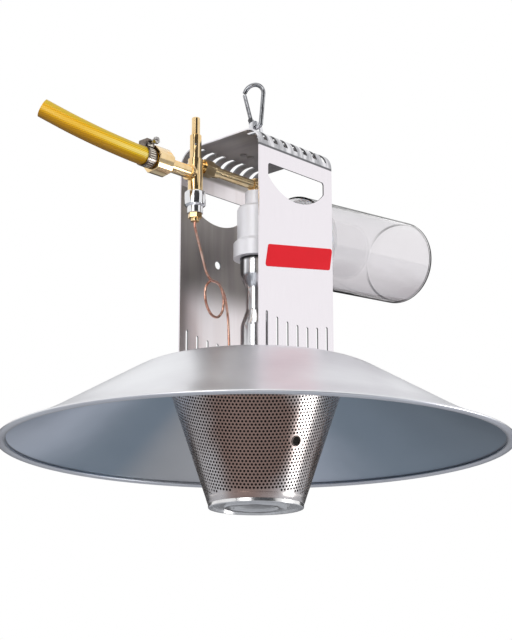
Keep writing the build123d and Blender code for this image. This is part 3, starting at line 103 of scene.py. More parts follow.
class Wire:
    """An output socket of a material. Python's operators on it add Math nodes."""

    def __init__(self, tree, socket):
        self.tree = tree
        self.socket = socket

    def node(self, kind, settings, inputs, output=0):
        """Add any node: its settings first, then the values or links of its sockets."""
        made = self.tree.nodes.new(kind)
        for key, value in settings.items():
            setattr(made, key, value)
        for key, value in inputs.items():
            if isinstance(value, Wire):
                self.tree.links.new(value.socket, made.inputs[key])
            else:
                made.inputs[key].default_value = value
        return Wire(self.tree, made.outputs[output])

    def math(self, operation, left, right=0.0, clamp=False):
        """A Math node on two values or links."""
        settings = {"operation": operation, "use_clamp": clamp}
        return self.node("ShaderNodeMath", settings, {0: left, 1: right})

    def __add__(self, other):
        return self.math("ADD", self, other)

    def __radd__(self, other):
        return self.math("ADD", other, self)

    def __sub__(self, other):
        return self.math("SUBTRACT", self, other)

    def __rsub__(self, other):
        return self.math("SUBTRACT", other, self)

    def __mul__(self, other):
        return self.math("MULTIPLY", self, other)

    def __rmul__(self, other):
        return self.math("MULTIPLY", other, self)

    def stretched(self, scale):
        """These coordinates times a scale on each axis."""
        return self.node("ShaderNodeMapping", {}, {"Vector": self, "Scale": scale})

    def noise(self, scale, detail=3.0):
        """Smooth noise from 0 to 1 over these coordinates."""
        return self.node("ShaderNodeTexNoise", {}, {"Vector": self, "Scale": scale, "Detail": detail})

    def vector(self, operation, other=(0, 0, 0), output=0):
        """A Vector Math node on these coordinates and other ones."""
        return self.node("ShaderNodeVectorMath", {"operation": operation}, {0: self, 1: other}, output)

    def dot(self, direction):
        """How far these coordinates lie along a direction."""
        return self.vector("DOT_PRODUCT", direction, "Value")

    def length(self):
        """How far these coordinates lie from their origin."""
        return self.vector("LENGTH", output="Value")

    def marked(self, name):
        """The value that the faces hold under a name."""
        return self.node("ShaderNodeAttribute", {"attribute_name": name}, {}, output="Fac")

    def between(self, low, high):
        """0 below low, 1 above high and a smooth step between them."""
        settings = {"interpolation_type": "SMOOTHSTEP"}
        return self.node("ShaderNodeMapRange", settings, {"Value": self, "From Min": low, "From Max": high})

    def band(self, start, full, fade, end):
        """0 up to start, 1 from full to fade and 0 again from end, with smooth steps between them."""
        return self.between(start, full) * (1 - self.between(fade, end))

    def tint(self, first, second):
        """One colour where this value is 0 and another where it is 1."""
        return self.node("ShaderNodeMix", {"data_type": "RGBA"}, {0: self, 6: first, 7: second}, output=2)

    def axis(self, name):
        """One coordinate of these coordinates."""
        return self.node("ShaderNodeSeparateXYZ", {}, {"Vector": self}, output=name)

    def into(self, shader, socket):
        """Feed a socket of the shader."""
        self.tree.links.new(self.socket, shader.inputs[socket])

    def bumps(self, shader, distance, strength=1.0):
        """Use this value as the height of a bump on the shader's normal."""
        inputs = {"Height": self, "Distance": distance, "Strength": strength}
        self.node("ShaderNodeBump", {}, inputs).into(shader, "Normal")


def new_finish(name, source="Object", **constants):
    """A material with one principled shader. The constants go straight on its sockets."""
    material = bpy.data.materials.new(name)
    material.use_nodes = True
    tree = material.node_tree
    shader = tree.nodes["Principled BSDF"]
    for socket, value in constants.items():
        shader.inputs[socket.replace("_", " ")].default_value = value
    where = Wire(tree, tree.nodes.new("ShaderNodeTexCoord").outputs[source])
    return material, shader, where


def rgb(red, green, blue):
    """A colour with full alpha."""
    return (red, green, blue, 1.0)


def worn_metal(name, light, dark, smooth, rough, grain=(1, 1, 1), scale=60.0, depth=1e-5):
    """Metal whose colour and roughness wander between two values along a grain, with fine marks."""
    material, shader, where = new_finish(name, Metallic=1.0)
    lines = where.stretched(grain).noise(scale, 5.0)
    clouds = where.noise(scale / 8, 2.0)
    (lines * 0.5 + clouds * 0.5).between(0.3, 0.7).tint(light, dark).into(shader, "Base Color")
    (smooth + (rough - smooth) * (lines * 0.6 + clouds * 0.4)).into(shader, "Roughness")
    where.stretched(grain).noise(scale * 6, 4.0).bumps(shader, depth)
    return material


WIRE_EDGE = 0.00012
hook_plating = worn_metal("hook_plating", rgb(0.46, 0.47, 0.49), rgb(0.14, 0.14, 0.15), 0.05, 0.14, scale=500)
for hook_node in ("snap_hook_body", "snap_hook_gate", "gate_rivet"):
    dress(softened(hook_node, WIRE_EDGE), hook_plating, hook_node)

# Hanging lug: a folded steel tab with the eye, riveted on the bracket by two snap-head rivets.
# The heads keep their zinc; the tails are hammered flat and painted dark as shade, like the inside of the
# sheet that they hold.
SHEET_EDGE = 0.0003
FASTENER_EDGE = 0.0002
ZINC_LIGHT = rgb(0.72, 0.73, 0.76)
ZINC_DARK = rgb(0.55, 0.56, 0.59)
TAIL_SHADE = rgb(0.30, 0.28, 0.27)
TAIL_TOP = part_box("bracket")[1].z - 0.0006
HEAD_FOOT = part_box("bracket")[1].z - 0.0002
brushed_steel = worn_metal(
    "brushed_steel", rgb(0.84, 0.84, 0.86), rgb(0.74, 0.74, 0.77), 0.16, 0.30, (6, 6, 0.15), 90, 3e-6
)
zinc = worn_metal("zinc", ZINC_LIGHT, ZINC_DARK, 0.16, 0.34, scale=400)
dress(softened("hanging_lug", SHEET_EDGE), brushed_steel, "hanging_lug")
rivet_zinc, shader, where = new_finish("rivet_zinc", Metallic=1.0)
plating = where.noise(400, 4.0).between(0.3, 0.7).tint(ZINC_LIGHT, ZINC_DARK)
head = where.axis("Z").between(TAIL_TOP, HEAD_FOOT)
# Below the bracket's top sheet the rivet tails are painted dark as shade.
head.tint(TAIL_SHADE, plating).into(shader, "Base Color")
(0.42 - 0.18 * head).into(shader, "Roughness")
dress(softened("lug_rivets", FASTENER_EDGE), rivet_zinc, "lug_rivets")

# Bracket: one sheet of stainless steel, punched with handle windows and vents, then folded over
# two bends, with a dark line of painted shade at the foot of the bend. Its outside and sheared border
# are polished; its inside is dull mill skin painted dark as shade, with painted light at the feet and
# over the windows, and the punched edges are painted dark as shade.


def face_layout(piece):
    """Middle and normal of each face of a piece."""
    count = len(piece.data.polygons)
    middle = np.empty(count * 3)
    normal = np.empty(count * 3)
    piece.data.polygons.foreach_get("center", middle)
    piece.data.polygons.foreach_get("normal", normal)
    return middle.reshape(-1, 3), normal.reshape(-1, 3)


def mark_faces(piece, name, chosen):
    """Store 1 on the chosen faces and 0 on the others, for the material to read."""
    layer = piece.data.attributes.new(name, "FLOAT", "FACE")
    layer.data.foreach_set("value", chosen.astype(np.float32))


bracket = softened("bracket", SHEET_EDGE)
bracket_low, bracket_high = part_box("bracket")
FOOT_TOP = bracket_low.z + 0.003
FOLD_Z = bracket_high.z - 0.019
WINDOW_TOP = bracket_high.z - 0.036
BORDER_X = bracket_high.x - 0.0006
middle, normal = face_layout(bracket)
fold_core = np.stack([middle[:, 0], 0 * middle[:, 1], np.minimum(middle[:, 2], FOLD_Z)], axis=1)
outwards = np.sum((middle - fold_core) * normal, axis=1)
across_sheet = (middle[:, 2] > FOOT_TOP) & (middle[:, 2] < FOLD_Z) & (np.abs(normal[:, 1]) < 0.5)
sideways = np.abs(normal[:, 0]) > 0.5
punched = across_sheet | sideways
sheared = sideways & (np.abs(middle[:, 0]) > BORDER_X)
mark_faces(bracket, "punched_edge", punched & ~sheared)
mark_faces(bracket, "inside", (outwards < 0) & ~punched)

LIT_FOOT_FULL = bracket_low.z + 0.062
LIT_FOOT_END = bracket_low.z + 0.100
UNLIT_BORDER_FULL = -0.052
UNLIT_BORDER_END = -0.034
CREASE_FROM = bracket_high.z - 0.0207
CREASE_FULL = bracket_high.z - 0.0201
CREASE_FADE = bracket_high.z - 0.0186
CREASE_END = bracket_high.z - 0.0178
BEND_FADE = bracket_high.z - 0.0012
BEND_END = bracket_high.z - 0.0004
bracket_steel, shader, where = new_finish("bracket_steel", Metallic=1.0)
inside = where.marked("inside")
edge = where.marked("punched_edge")
grain = where.stretched((40, 40, 0.4)).noise(90, 4.0)
streaks = where.stretched((1, 0.2, 0.06)).noise(70, 3.0).between(0.35, 0.65)
height = where.axis("Z")
# Painted light on the inside: bright at the feet, less so at the border, and above the windows.
unlit_border = 1 - where.axis("X").between(UNLIT_BORDER_FULL, UNLIT_BORDER_END)
foot = (1 - height.between(LIT_FOOT_FULL, LIT_FOOT_END)) * (1 - 0.75 * unlit_border)
handle_bar = height.band(WINDOW_TOP - 0.001, WINDOW_TOP, FOLD_Z - 0.004, FOLD_Z)
painted_light = where.math("MAXIMUM", foot, handle_bar)
# The mill skin is painted dark as shade, and its lit copy is painted light.
shaded_mill_skin = streaks.tint(rgb(0.32, 0.295, 0.285), rgb(0.41, 0.38, 0.36))
lit_mill_skin = streaks.tint(rgb(0.95, 0.90, 0.92), rgb(0.86, 0.80, 0.81))
polished = grain.between(0.3, 0.7).tint(rgb(0.85, 0.81, 0.85), rgb(0.89, 0.85, 0.89))
bend = height.band(CREASE_FROM, CREASE_FULL, BEND_FADE, BEND_END)
# A dark line of painted shade at the foot of the bend.
crease_shade = height.band(CREASE_FROM, CREASE_FULL, CREASE_FADE, CREASE_END)
strain = where.stretched((1, 0.3, 0.3)).noise(160, 3.0).between(0.35, 0.65)
stretched_steel = strain.tint(rgb(0.40, 0.40, 0.42), rgb(0.84, 0.83, 0.86))
outside = crease_shade.tint(bend.tint(polished, stretched_steel), rgb(0.16, 0.16, 0.17))
sides = inside.tint(outside, painted_light.tint(shaded_mill_skin, lit_mill_skin))
# The punched edges are painted dark as shade.
edge.tint(sides, rgb(0.20, 0.20, 0.21)).into(shader, "Base Color")
(0.2 + 0.1 * grain + 0.14 * inside + 0.2 * edge).into(shader, "Roughness")
grain.bumps(shader, 2e-6)
dress(bracket, bracket_steel, "bracket")

# Red plate: a plain red film on a thin aluminium plate, bonded on the front panel. The film is
# half matt, with the faint ripple of its adhesive.
PLATE_EDGE = 0.0001
red_film, shader, where = new_finish("red_film", Specular_IOR_Level=0.15)
where.noise(60, 2.0).tint(rgb(0.80, 0.012, 0.024), rgb(0.72, 0.009, 0.018)).into(shader, "Base Color")
(0.4 + 0.1 * where.noise(500, 3.0)).into(shader, "Roughness")
where.noise(1600, 2.0).bumps(shader, 4e-6)
dress(softened("badge_plate", PLATE_EDGE), red_film, "badge_plate")

# Reflector dish: spun from aluminium sheet, with a flat crown, a rounded shoulder, a flatter
# flare and a rolled rim. The spinning tool leaves fine rings on both faces. The inside's colour is
# painted reflection and shade: soft fans of light and dark round its axis, painted shade towards one
# side, a warm painted reflection towards another and a dark line of painted shade where the rim rolls.
CROWN_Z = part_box("reflector_dish")[1].z
RIM_Z = CROWN_Z - 0.076
DISH_R = 0.250
DISH_SHEET = 0.0012
DISH_HOLE_R = 0.0158
SHOULDER_R = 0.1095
FLARE_R = 0.212
FLARE_DROP = 0.05967
RIM_WIDTH = 0.009
RIM_HEIGHT = 0.004
DISH_BENDS = (0, 0.060, 0.300, 0)


def rounded(corners, radii, steps=6):
    """Round the corners of an outline: each corner becomes a parabola that starts and ends one
    tangent length, radius / tan(half angle), from it. A radius of 0 keeps the corner."""
    corner = np.array(corners, dtype=float)
    radius = np.broadcast_to(np.array(radii, dtype=float), len(corner))
    before = np.roll(corner, 1, axis=0) - corner
    after = np.roll(corner, -1, axis=0) - corner
    before_run = np.linalg.norm(before, axis=1)
    after_run = np.linalg.norm(after, axis=1)
    cosine = np.sum(before * after, axis=1) / (before_run * after_run)
    half = np.arccos(np.clip(cosine, -0.99999, 0.99999)) / 2
    reach = np.minimum(radius / np.tan(half), 0.48 * np.minimum(before_run, after_run))
    start = corner + before * (reach / before_run)[:, None]
    end = corner + after * (reach / after_run)[:, None]
    t = np.linspace(0, 1, steps)[None, :, None]
    bends = (1 - t) ** 2 * start[:, None] + 2 * t * (1 - t) * corner[:, None] + t**2 * end[:, None]
    return bends.reshape(-1, 2)


def sheet_outline(line, thickness):
    """Closed outline of a sheet: the line moved half the thickness to each side along its normal."""
    keep = np.append(True, np.linalg.norm(np.diff(line, axis=0), axis=1) > 1e-7)
    line = line[keep]
    run = np.gradient(line, axis=0)
    run /= np.linalg.norm(run, axis=1)[:, None]
    side = np.stack([-run[:, 1], run[:, 0]], axis=1) * thickness / 2
    return np.concatenate([line + side, (line - side)[::-1]])


def mesh_of(name, points, faces):
    """A piece from points and faces, with doubles merged and every face turned outwards."""
    mesh = bpy.data.meshes.new(name)
    mesh.from_pydata(points.reshape(-1, 3).tolist(), [], faces)
    work = bmesh.new()
    work.from_mesh(mesh)
    bmesh.ops.remove_doubles(work, verts=work.verts, dist=MERGE)
    bmesh.ops.dissolve_degenerate(work, edges=work.edges, dist=MERGE)
    bmesh.ops.recalc_face_normals(work, faces=work.faces)
    work.to_mesh(mesh)
    work.free()
    return add_piece(name, mesh)


def grid_faces(rows, columns):
    """Quads of a grid that closes both ways: each point with the next in its row and column."""
    row, column = np.meshgrid(np.arange(rows), np.arange(columns), indexing="ij")
    next_row = (row + 1) % rows
    next_column = (column + 1) % columns
    corners = [
        row * columns + column,
        row * columns + next_column,
        next_row * columns + next_column,
        next_row * columns + column,
    ]
    return np.stack(corners, axis=-1).reshape(-1, 4).tolist()


def lathe(name, *outlines, steps=96, origin=(0, 0, 0), axis=(0, 0, 1)):
    """Turn closed outlines of (radius, height) round an axis: origin + radius * (cos t, sin t)
    across the axis + height along it."""
    along = np.array(axis, dtype=float) / np.linalg.norm(axis)
    across = np.cross((0, 1, 0), along)
    across /= np.linalg.norm(across)
    other = np.cross(along, across)
    t = np.linspace(0, 2 * math.pi, steps, endpoint=False)
    spoke = np.cos(t)[:, None] * across + np.sin(t)[:, None] * other
    points = []
    faces = []
    count = 0
    for painted_outline in outlines:
        painted_outline = np.asarray(painted_outline, dtype=float)
        rings = painted_outline[None, :, 0, None] * spoke[:, None] + painted_outline[None, :, 1, None] * along
        points.append((rings + np.array(origin)).reshape(-1, 3))
        faces += [[i + count for i in face] for face in grid_faces(steps, len(painted_outline))]
        count += steps * len(painted_outline)
    return mesh_of(name, np.concatenate(points), faces)


def oval(width, height, middle, steps=28):
    """Closed outline of a rolled edge: an ellipse of this width and height."""
    t = np.linspace(0, 2 * math.pi, steps, endpoint=False)
    return np.stack([middle[0] + width / 2 * np.cos(t), middle[1] + height / 2 * np.sin(t)], axis=1)


dish_corners = [
    (DISH_HOLE_R, CROWN_Z - DISH_SHEET / 2),
    (SHOULDER_R, CROWN_Z - DISH_SHEET / 2),
    (FLARE_R, CROWN_Z - FLARE_DROP),
    (DISH_R - RIM_WIDTH / 2, RIM_Z + RIM_HEIGHT / 4),
]
dish_line = rounded(dish_corners, DISH_BENDS, 24)
rim_roll = oval(RIM_WIDTH, RIM_HEIGHT, (DISH_R - RIM_WIDTH / 2, RIM_Z))


def level_axis(turn):
    """A level direction: the cosine and sine of its turn from +X."""
    return (math.cos(turn), math.sin(turn), 0)


FAN_TURN = math.radians(43)
SHADE_SIDE_TURN = math.radians(-47)
WARM_REFLECTION_TURN = math.radians(60)
ROLL_START_R = 0.241
ROLL_SHADE_CORE = 0.0002
ROLL_SHADE_BLUR = 0.0012
spun_aluminium, shader, where = new_finish("spun_aluminium", Metallic=1.0)
level_place = where.stretched((1, 1, 0))
radius = level_place.length()
heading = level_place.vector("NORMALIZE")
rings = radius.node("ShaderNodeCombineXYZ", {}, {"X": radius}).noise(900, 4.0)
patches = where.noise(14, 3.0)
# Painted shade towards one side of the inside, and a warm painted reflection towards another.
shade_side = heading.dot(level_axis(SHADE_SIDE_TURN)).between(0.45, 1.0)
warm_reflection = heading.dot(level_axis(WARM_REFLECTION_TURN)).between(0.90, 1.0)
# Soft fans of painted reflection, light and dark, round the axis.
fan_cosine = heading.dot(level_axis(FAN_TURN))
square = fan_cosine * fan_cosine
reflection_fans = (4 * square * square - 4 * square + 1) * (0.8 - 0.8 * shade_side) + patches * 0.4 - 0.1
brushing = (rings * 0.4 + patches * 0.6).between(0.3, 0.7)
outer_skin = brushing.tint(rgb(0.80, 0.81, 0.84), rgb(0.70, 0.70, 0.74))
# The inside's colour is painted reflection and shade.
reflected_skin = reflection_fans.between(0.0, 1.0).tint(rgb(0.34, 0.41, 0.48), rgb(0.76, 0.81, 0.90))
reflected_shaded_skin = (0.7 * shade_side * shade_side * shade_side).tint(reflected_skin, rgb(0.20, 0.25, 0.30))
inner_skin = (0.6 * warm_reflection).tint(reflected_shaded_skin, rgb(0.70, 0.66, 0.62))
inside = where.marked("inside")
# A dark ring of painted shade inside, where the rolled rim starts.
roll_shade = radius.band(ROLL_START_R - ROLL_SHADE_BLUR, ROLL_START_R - ROLL_SHADE_CORE, ROLL_START_R + ROLL_SHADE_CORE, ROLL_START_R + ROLL_SHADE_BLUR)
(inside * roll_shade).tint(inside.tint(outer_skin, inner_skin), rgb(0.24, 0.25, 0.27)).into(shader, "Base Color")
(0.26 + 0.14 * (rings * 0.5 + patches * 0.5) + 0.06 * inside).into(shader, "Roughness")
rings.bumps(shader, 1.2e-5)
dish = lathe("reflector_dish_look", sheet_outline(dish_line, DISH_SHEET), rim_roll, steps=256)
middle, normal = face_layout(dish)
mark_faces(dish, "inside", (normal[:, 2] < 0) & (middle[:, 2] > RIM_Z))
dress(dish, spun_aluminium, "reflector_dish")

# Frame screws: four zinc-plated screws clamp bracket, dish and burner plate together. Their nuts
# sit inside the burner and keep their own plain meshes.
dress(softened("frame_screws", FASTENER_EDGE), zinc, "frame_screws")


def paint(material, *nodes):
    """Give nodes that keep their own mesh a material."""
    for node in nodes:
        kept = frame["nodes"][node].data
        kept.materials.clear()
        kept.materials.append(material)


paint(zinc, "frame_nuts")

# Emitter cone: perforated stainless sheet rolled from a flat sector, so its staggered holes lie in
# straight rows on the flat sheet. A plain band closes each end and the lap, and it glows in use,
# so its middle is stained brown by heat; its front is painted darker brown as shade.
BURNER_Z = CROWN_Z - 0.0027
CONE_TOP_R = 0.0906
CONE_LOW_R = 0.0463
CONE_DROP = 0.1303
CONE_SHEET = 0.0008
CONE_FLANGE = 0.0094
HOLE_PITCH = 0.0036
HOLE_R = 0.00122
LOW_BAND = 0.006
TOP_BAND = 0.004
LAP = 0.007
PORT_R = 0.0048
PORT_TURN = math.radians(-100.6)
PORT_DROP = 0.078
CONE_FRONT = math.radians(223)
BAND_PROUD = 0.00012
BAND_ROUND = 0.0002
cone_half = math.atan2(CONE_TOP_R - CONE_LOW_R, CONE_DROP)
sine = math.sin(cone_half)
cosine = math.cos(cone_half)
top_run = CONE_TOP_R / sine
low_run = CONE_LOW_R / sine
sector = math.pi * sine


def on_cone(flat, depth=0.0):
    """Roll points of the flat sheet onto the cone: the run from the apex sets radius and height, and
    the angle on the sheet, divided by the sine of the half angle, sets the turn. Depth is inwards."""
    run = np.hypot(flat[..., 0], flat[..., 1])
    turn = CONE_FRONT + np.arctan2(flat[..., 1], flat[..., 0]) / sine
    radius = run * sine - depth * cosine
    height = BURNER_Z - (top_run - run) * cosine + depth * sine
    return np.stack([radius * np.cos(turn), radius * np.sin(turn), height], axis=-1)


def thickened(name, outer, inner, faces):
    """A wall between two like layers of points: the outer faces, the inner ones turned round, and a
    quad under each edge that only one face has."""
    starts = np.concatenate(faces)
    ends = np.concatenate([np.roll(face, -1) for face in faces])
    count = len(outer)
    rim = ~np.isin(starts * count + ends, ends * count + starts)
    a, b = starts[rim], ends[rim]
    walls = np.stack([b, a, a + count, b + count], axis=1).tolist()
    backs = [(face[::-1] + count).tolist() for face in faces]
    return mesh_of(name, np.concatenate([outer, inner]), [f.tolist() for f in faces] + backs + walls)


row_pitch = HOLE_PITCH * math.sqrt(3) / 2
reach = math.ceil(top_run / HOLE_PITCH) + 1
column, row = np.meshgrid(np.arange(-reach, reach + 1), np.arange(0, 2 * reach), indexing="ij")
centres = np.stack([row * row_pitch, (column + 0.5 * (row % 2)) * HOLE_PITCH], axis=-1).reshape(-1, 2)
centre_run = np.hypot(centres[:, 0], centres[:, 1])
centre_angle = np.arctan2(centres[:, 1], centres[:, 0])
lap_gap = centre_run * (sector - np.abs(centre_angle))
port_run = top_run - PORT_DROP / cosine
port_angle = math.remainder(PORT_TURN - CONE_FRONT, 2 * math.pi) * sine
port_at = np.array([port_run * math.cos(port_angle), port_run * math.sin(port_angle)])
port_gap = np.linalg.norm(centres - port_at, axis=1)
on_sheet = (centre_run > low_run + row_pitch) & (centre_run < top_run - row_pitch)
on_sheet &= (lap_gap > HOLE_PITCH / 2) & (port_gap > PORT_R - HOLE_PITCH / 2)
pierced = (centre_run > low_run + LOW_BAND + HOLE_R * 1.3) & (centre_run < top_run - TOP_BAND)
pierced &= (lap_gap > LAP) & (port_gap > PORT_R + 1.5 * HOLE_R)
brick = np.array([(-1, -1), (-1, 0), (-1, 1), (0, 1), (1, 1), (1, 0), (1, -1), (0, -1)])
CELL_CORNERS = len(brick)
SAME_CORNER = 5e-6
cell_rim = brick * (row_pitch / 2, HOLE_PITCH / 2)
hole_rim = HOLE_R * brick / np.linalg.norm(brick, axis=1)[:, None]


def pierced_sheet(name, half):
    """Sheet of brick-shaped cells, half of the cone: a cell with a hole is a ring of quads between the
    cell's rim and the hole's, a plain one is a single face, and points in the port go to its circle."""
    with_hole = centres[on_sheet & pierced & half]
    plain = centres[on_sheet & ~pierced & half]
    outer_rims = (np.concatenate([with_hole, plain])[:, None] + cell_rim).reshape(-1, 2)
    keys = np.round(outer_rims / SAME_CORNER).astype(int)
    first, rim_index = np.unique(keys, axis=0, return_index=True, return_inverse=True)[1:]
    rim_index = rim_index.reshape(-1, CELL_CORNERS)
    hole_index = len(first) + np.arange(len(with_hole) * CELL_CORNERS).reshape(-1, CELL_CORNERS)
    flat = np.concatenate([outer_rims[first], (with_hole[:, None] + hole_rim).reshape(-1, 2)])
    from_port = flat - port_at
    port_reach = np.linalg.norm(from_port, axis=1)[:, None]
    flat = np.where(port_reach < PORT_R, port_at + from_port * PORT_R / port_reach, flat)
    ring = rim_index[: len(with_hole)]
    quads = np.stack([ring, np.roll(ring, -1, 1), np.roll(hole_index, -1, 1), hole_index], axis=-1)
    faces = list(quads.reshape(-1, 4)) + list(rim_index[len(with_hole) :])
    return thickened(name, on_cone(flat), on_cone(flat, CONE_SHEET), faces)


left_half = pierced_sheet("emitter_mesh_left", centre_angle < 0)
right_half = pierced_sheet("emitter_mesh_right", centre_angle >= 0)


def cone_strip(run_from, run_to):
    """Closed outline of a plain strip of the cone's sheet between two runs, a little proud of it."""
    runs = np.array([run_from, run_to])
    line = np.stack([runs * sine - CONE_SHEET / 2 * cosine, BURNER_Z - (top_run - runs) * cosine], axis=1)
    line[:, 1] += CONE_SHEET / 2 * sine
    return rounded(sheet_outline(line, CONE_SHEET + 2 * BAND_PROUD), BAND_ROUND, 3)


FLANGE_SHEET = 0.001
flange = [
    (CONE_TOP_R - CONE_FLANGE, BURNER_Z),
    (CONE_TOP_R, BURNER_Z),
    (CONE_TOP_R, BURNER_Z - FLANGE_SHEET),
    (CONE_TOP_R - CONE_FLANGE, BURNER_Z - FLANGE_SHEET),
]
cone_bands = lathe(
    "emitter_bands",
    cone_strip(low_run, low_run + LOW_BAND),
    cone_strip(top_run - TOP_BAND, top_run),
    rounded(flange, BAND_ROUND, 3),
    steps=192,
)
LAP_ROWS = 40
LAP_COLUMNS = 9
LAP_PROUD = 0.00015
LAP_BACK = 0.0001
lap_run = np.linspace(low_run, top_run, LAP_ROWS)[:, None]
lap_angle = sector + np.linspace(-LAP, LAP, LAP_COLUMNS) / lap_run
lap_flat = (lap_run[..., None] * np.stack([np.cos(lap_angle), np.sin(lap_angle)], axis=-1)).reshape(-1, 2)
corner = (np.arange(LAP_ROWS - 1)[:, None] * LAP_COLUMNS + np.arange(LAP_COLUMNS - 1)).reshape(-1)
lap_faces = np.stack([corner, corner + 1, corner + LAP_COLUMNS + 1, corner + LAP_COLUMNS], axis=1)
lap_outer = on_cone(lap_flat, -LAP_PROUD)
lap_inner = on_cone(lap_flat, CONE_SHEET + LAP_BACK)
cone_lap = thickened("emitter_lap", lap_outer, lap_inner, list(lap_faces))

EYELET_IN = PORT_R - 0.0006
EYELET_OUT = PORT_R + 0.0007
EYELET_BACK = -0.0012
EYELET_LIP = 0.0003
EYELET_FOOT = 0.0001
EYELET_ROUND = 0.0003
eyelet = [
    (EYELET_IN, EYELET_BACK),
    (EYELET_IN, EYELET_LIP),
    (EYELET_OUT, EYELET_FOOT),
    (EYELET_OUT, EYELET_BACK),
]
eyelet_outline = rounded(eyelet, EYELET_ROUND, 4)
port_middle = on_cone(port_at)
port_out = np.array([cosine * math.cos(PORT_TURN), cosine * math.sin(PORT_TURN), -sine])
port_eyelet = lathe("lighting_port", eyelet_outline, steps=40, origin=port_middle, axis=port_out)
FRONT_SHADE_TURN = math.radians(219)
hot_steel, shader, where = new_finish("hot_steel", Metallic=1.0)
height = where.axis("Z")
heat = height.band(
    BURNER_Z - CONE_DROP, BURNER_Z - 0.55 * CONE_DROP, BURNER_Z - 0.5 * CONE_DROP, BURNER_Z
)
# The side of the cone that faces this turn is painted darker brown as shade.
front_shade = where.stretched((1, 1, 0)).vector("NORMALIZE").dot(level_axis(FRONT_SHADE_TURN))
heat_stain_and_shade = heat * 0.3 + front_shade.between(0.70, 1.0) * 0.6 + where.noise(22, 2.0) * 0.6 - 0.3
heat_stain_and_shade.between(0.05, 0.75).tint(rgb(0.82, 0.77, 0.75), rgb(0.36, 0.24, 0.20)).into(shader, "Base Color")
(0.18 + 0.16 * where.noise(120, 4.0)).into(shader, "Roughness")
where.stretched((1, 1, 0.1)).noise(800, 3.0).bumps(shader, 8e-6)
# The eyelet round the port is painted near black, as the shade in the port.
eyelet_shade = worn_metal("eyelet_shade", rgb(0.20, 0.16, 0.15), rgb(0.10, 0.08, 0.07), 0.3, 0.5, scale=300)
dress(cone_bands, hot_steel, "emitter_cone")
for cone_piece, finish in (
    (left_half, hot_steel),
    (right_half, hot_steel),
    (cone_lap, hot_steel),
    (port_eyelet, eyelet_shade),
):
    cone_piece.data.materials.append(finish)
    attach(cone_piece, "lamp")

# Burner plate, inner gauze cone and pressed cap: stainless steel too. The plate carries both cones,
# the gauze and the probe are near black, and the cap closes the cone's low end.
near_black_steel = worn_metal("near_black_steel", rgb(0.10, 0.09, 0.085), rgb(0.05, 0.045, 0.04), 0.45, 0.7, scale=200)
plain_steel = worn_metal("plain_steel", rgb(0.66, 0.66, 0.67), rgb(0.54, 0.53, 0.53), 0.2, 0.36, scale=80)
paint(near_black_steel, "burner_core", "sensor_probe")
paint(plain_steel, "burner_plate")
cap_steel = worn_metal("cap_steel", rgb(0.92, 0.92, 0.92), rgb(0.76, 0.75, 0.75), 0.14, 0.30, scale=60)
dress(softened("burner_cap", SHEET_EDGE), cap_steel, "burner_cap")

# Mixing tube: a venturi drawn from steel tube and chromed, so draw lines run along it, and its colour
# runs in bright and dark stripes of painted reflection along them. A hexagon nut holds it on the dish,
# and its top goes into the mixer's collar, with a black painted shadow just below the collar.
TUBE_WALL = 0.0012
TUBE_BEND = 0.012
TUBE_LOW_R = 0.0149
TUBE_WAIST_R = 0.0096
TUBE_TOP_R = 0.0154
TUBE_FOOT_Z = CROWN_Z - 0.0042
TAPER_Z = CROWN_Z + 0.044
WAIST_LOW_Z = CROWN_Z + 0.059
WAIST_TOP_Z = CROWN_Z + 0.083
TUBE_FLARE_Z = CROWN_Z + 0.0955
TUBE_TOP_Z = CROWN_Z + 0.123
NUT_EDGE = 0.0004
tube_corners = [
    (TUBE_LOW_R, TUBE_FOOT_Z),
    (TUBE_LOW_R, TAPER_Z),
    (TUBE_WAIST_R, WAIST_LOW_Z),
    (TUBE_WAIST_R, WAIST_TOP_Z),
    (TUBE_TOP_R, TUBE_FLARE_Z),
    (TUBE_TOP_R, TUBE_TOP_Z),
]
tube_line = rounded(tube_corners, (0, TUBE_BEND, TUBE_BEND, TUBE_BEND, TUBE_BEND, 0), 16)
COLLAR_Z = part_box("mixer_body")[0].z
SHADOW_FROM = COLLAR_Z - 0.0045
SHADOW_FULL = COLLAR_Z - 0.0015
drawn_chrome, shader, where = new_finish("drawn_chrome", Metallic=1.0)
draw_lines_and_reflections = where.stretched((1, 1, 0.04)).noise(150, 2.0)
# Painted shadow: black just below the mixer's collar.
collar_shadow = where.axis("Z").between(SHADOW_FROM, SHADOW_FULL)
# The colour runs bright and dark along the draw lines as stripes of painted reflection.
lines = draw_lines_and_reflections.between(0.40, 0.60).tint(rgb(0.95, 0.95, 0.97), rgb(0.34, 0.34, 0.36))
collar_shadow.tint(lines, rgb(0.05, 0.05, 0.05)).into(shader, "Base Color")
(0.12 + 0.14 * draw_lines_and_reflections).into(shader, "Roughness")
draw_lines_and_reflections.bumps(shader, 4e-6)
dress(lathe("mixing_tube_look", sheet_outline(tube_line, TUBE_WALL)), drawn_chrome, "mixing_tube")
dress(softened("tube_locknut", NUT_EDGE), zinc, "tube_locknut")

# Mixer: an aluminium casting with a neck for the jet, a cup, a collar over the mixing tube and
# a spout for air. It is left as cast, fine and matt.
cast_alloy, shader, where = new_finish("cast_alloy", Metallic=0.25)
where.noise(45, 3.0).tint(rgb(0.93, 0.92, 0.95), rgb(0.86, 0.85, 0.89)).into(shader, "Base Color")
(0.34 + 0.14 * where.noise(160, 3.0)).into(shader, "Roughness")
where.noise(1400, 4.0).bumps(shader, 3e-5)
CAST_EDGE = 0.0009
dress(softened("mixer_body", CAST_EDGE, 3), cast_alloy, "mixer_body")

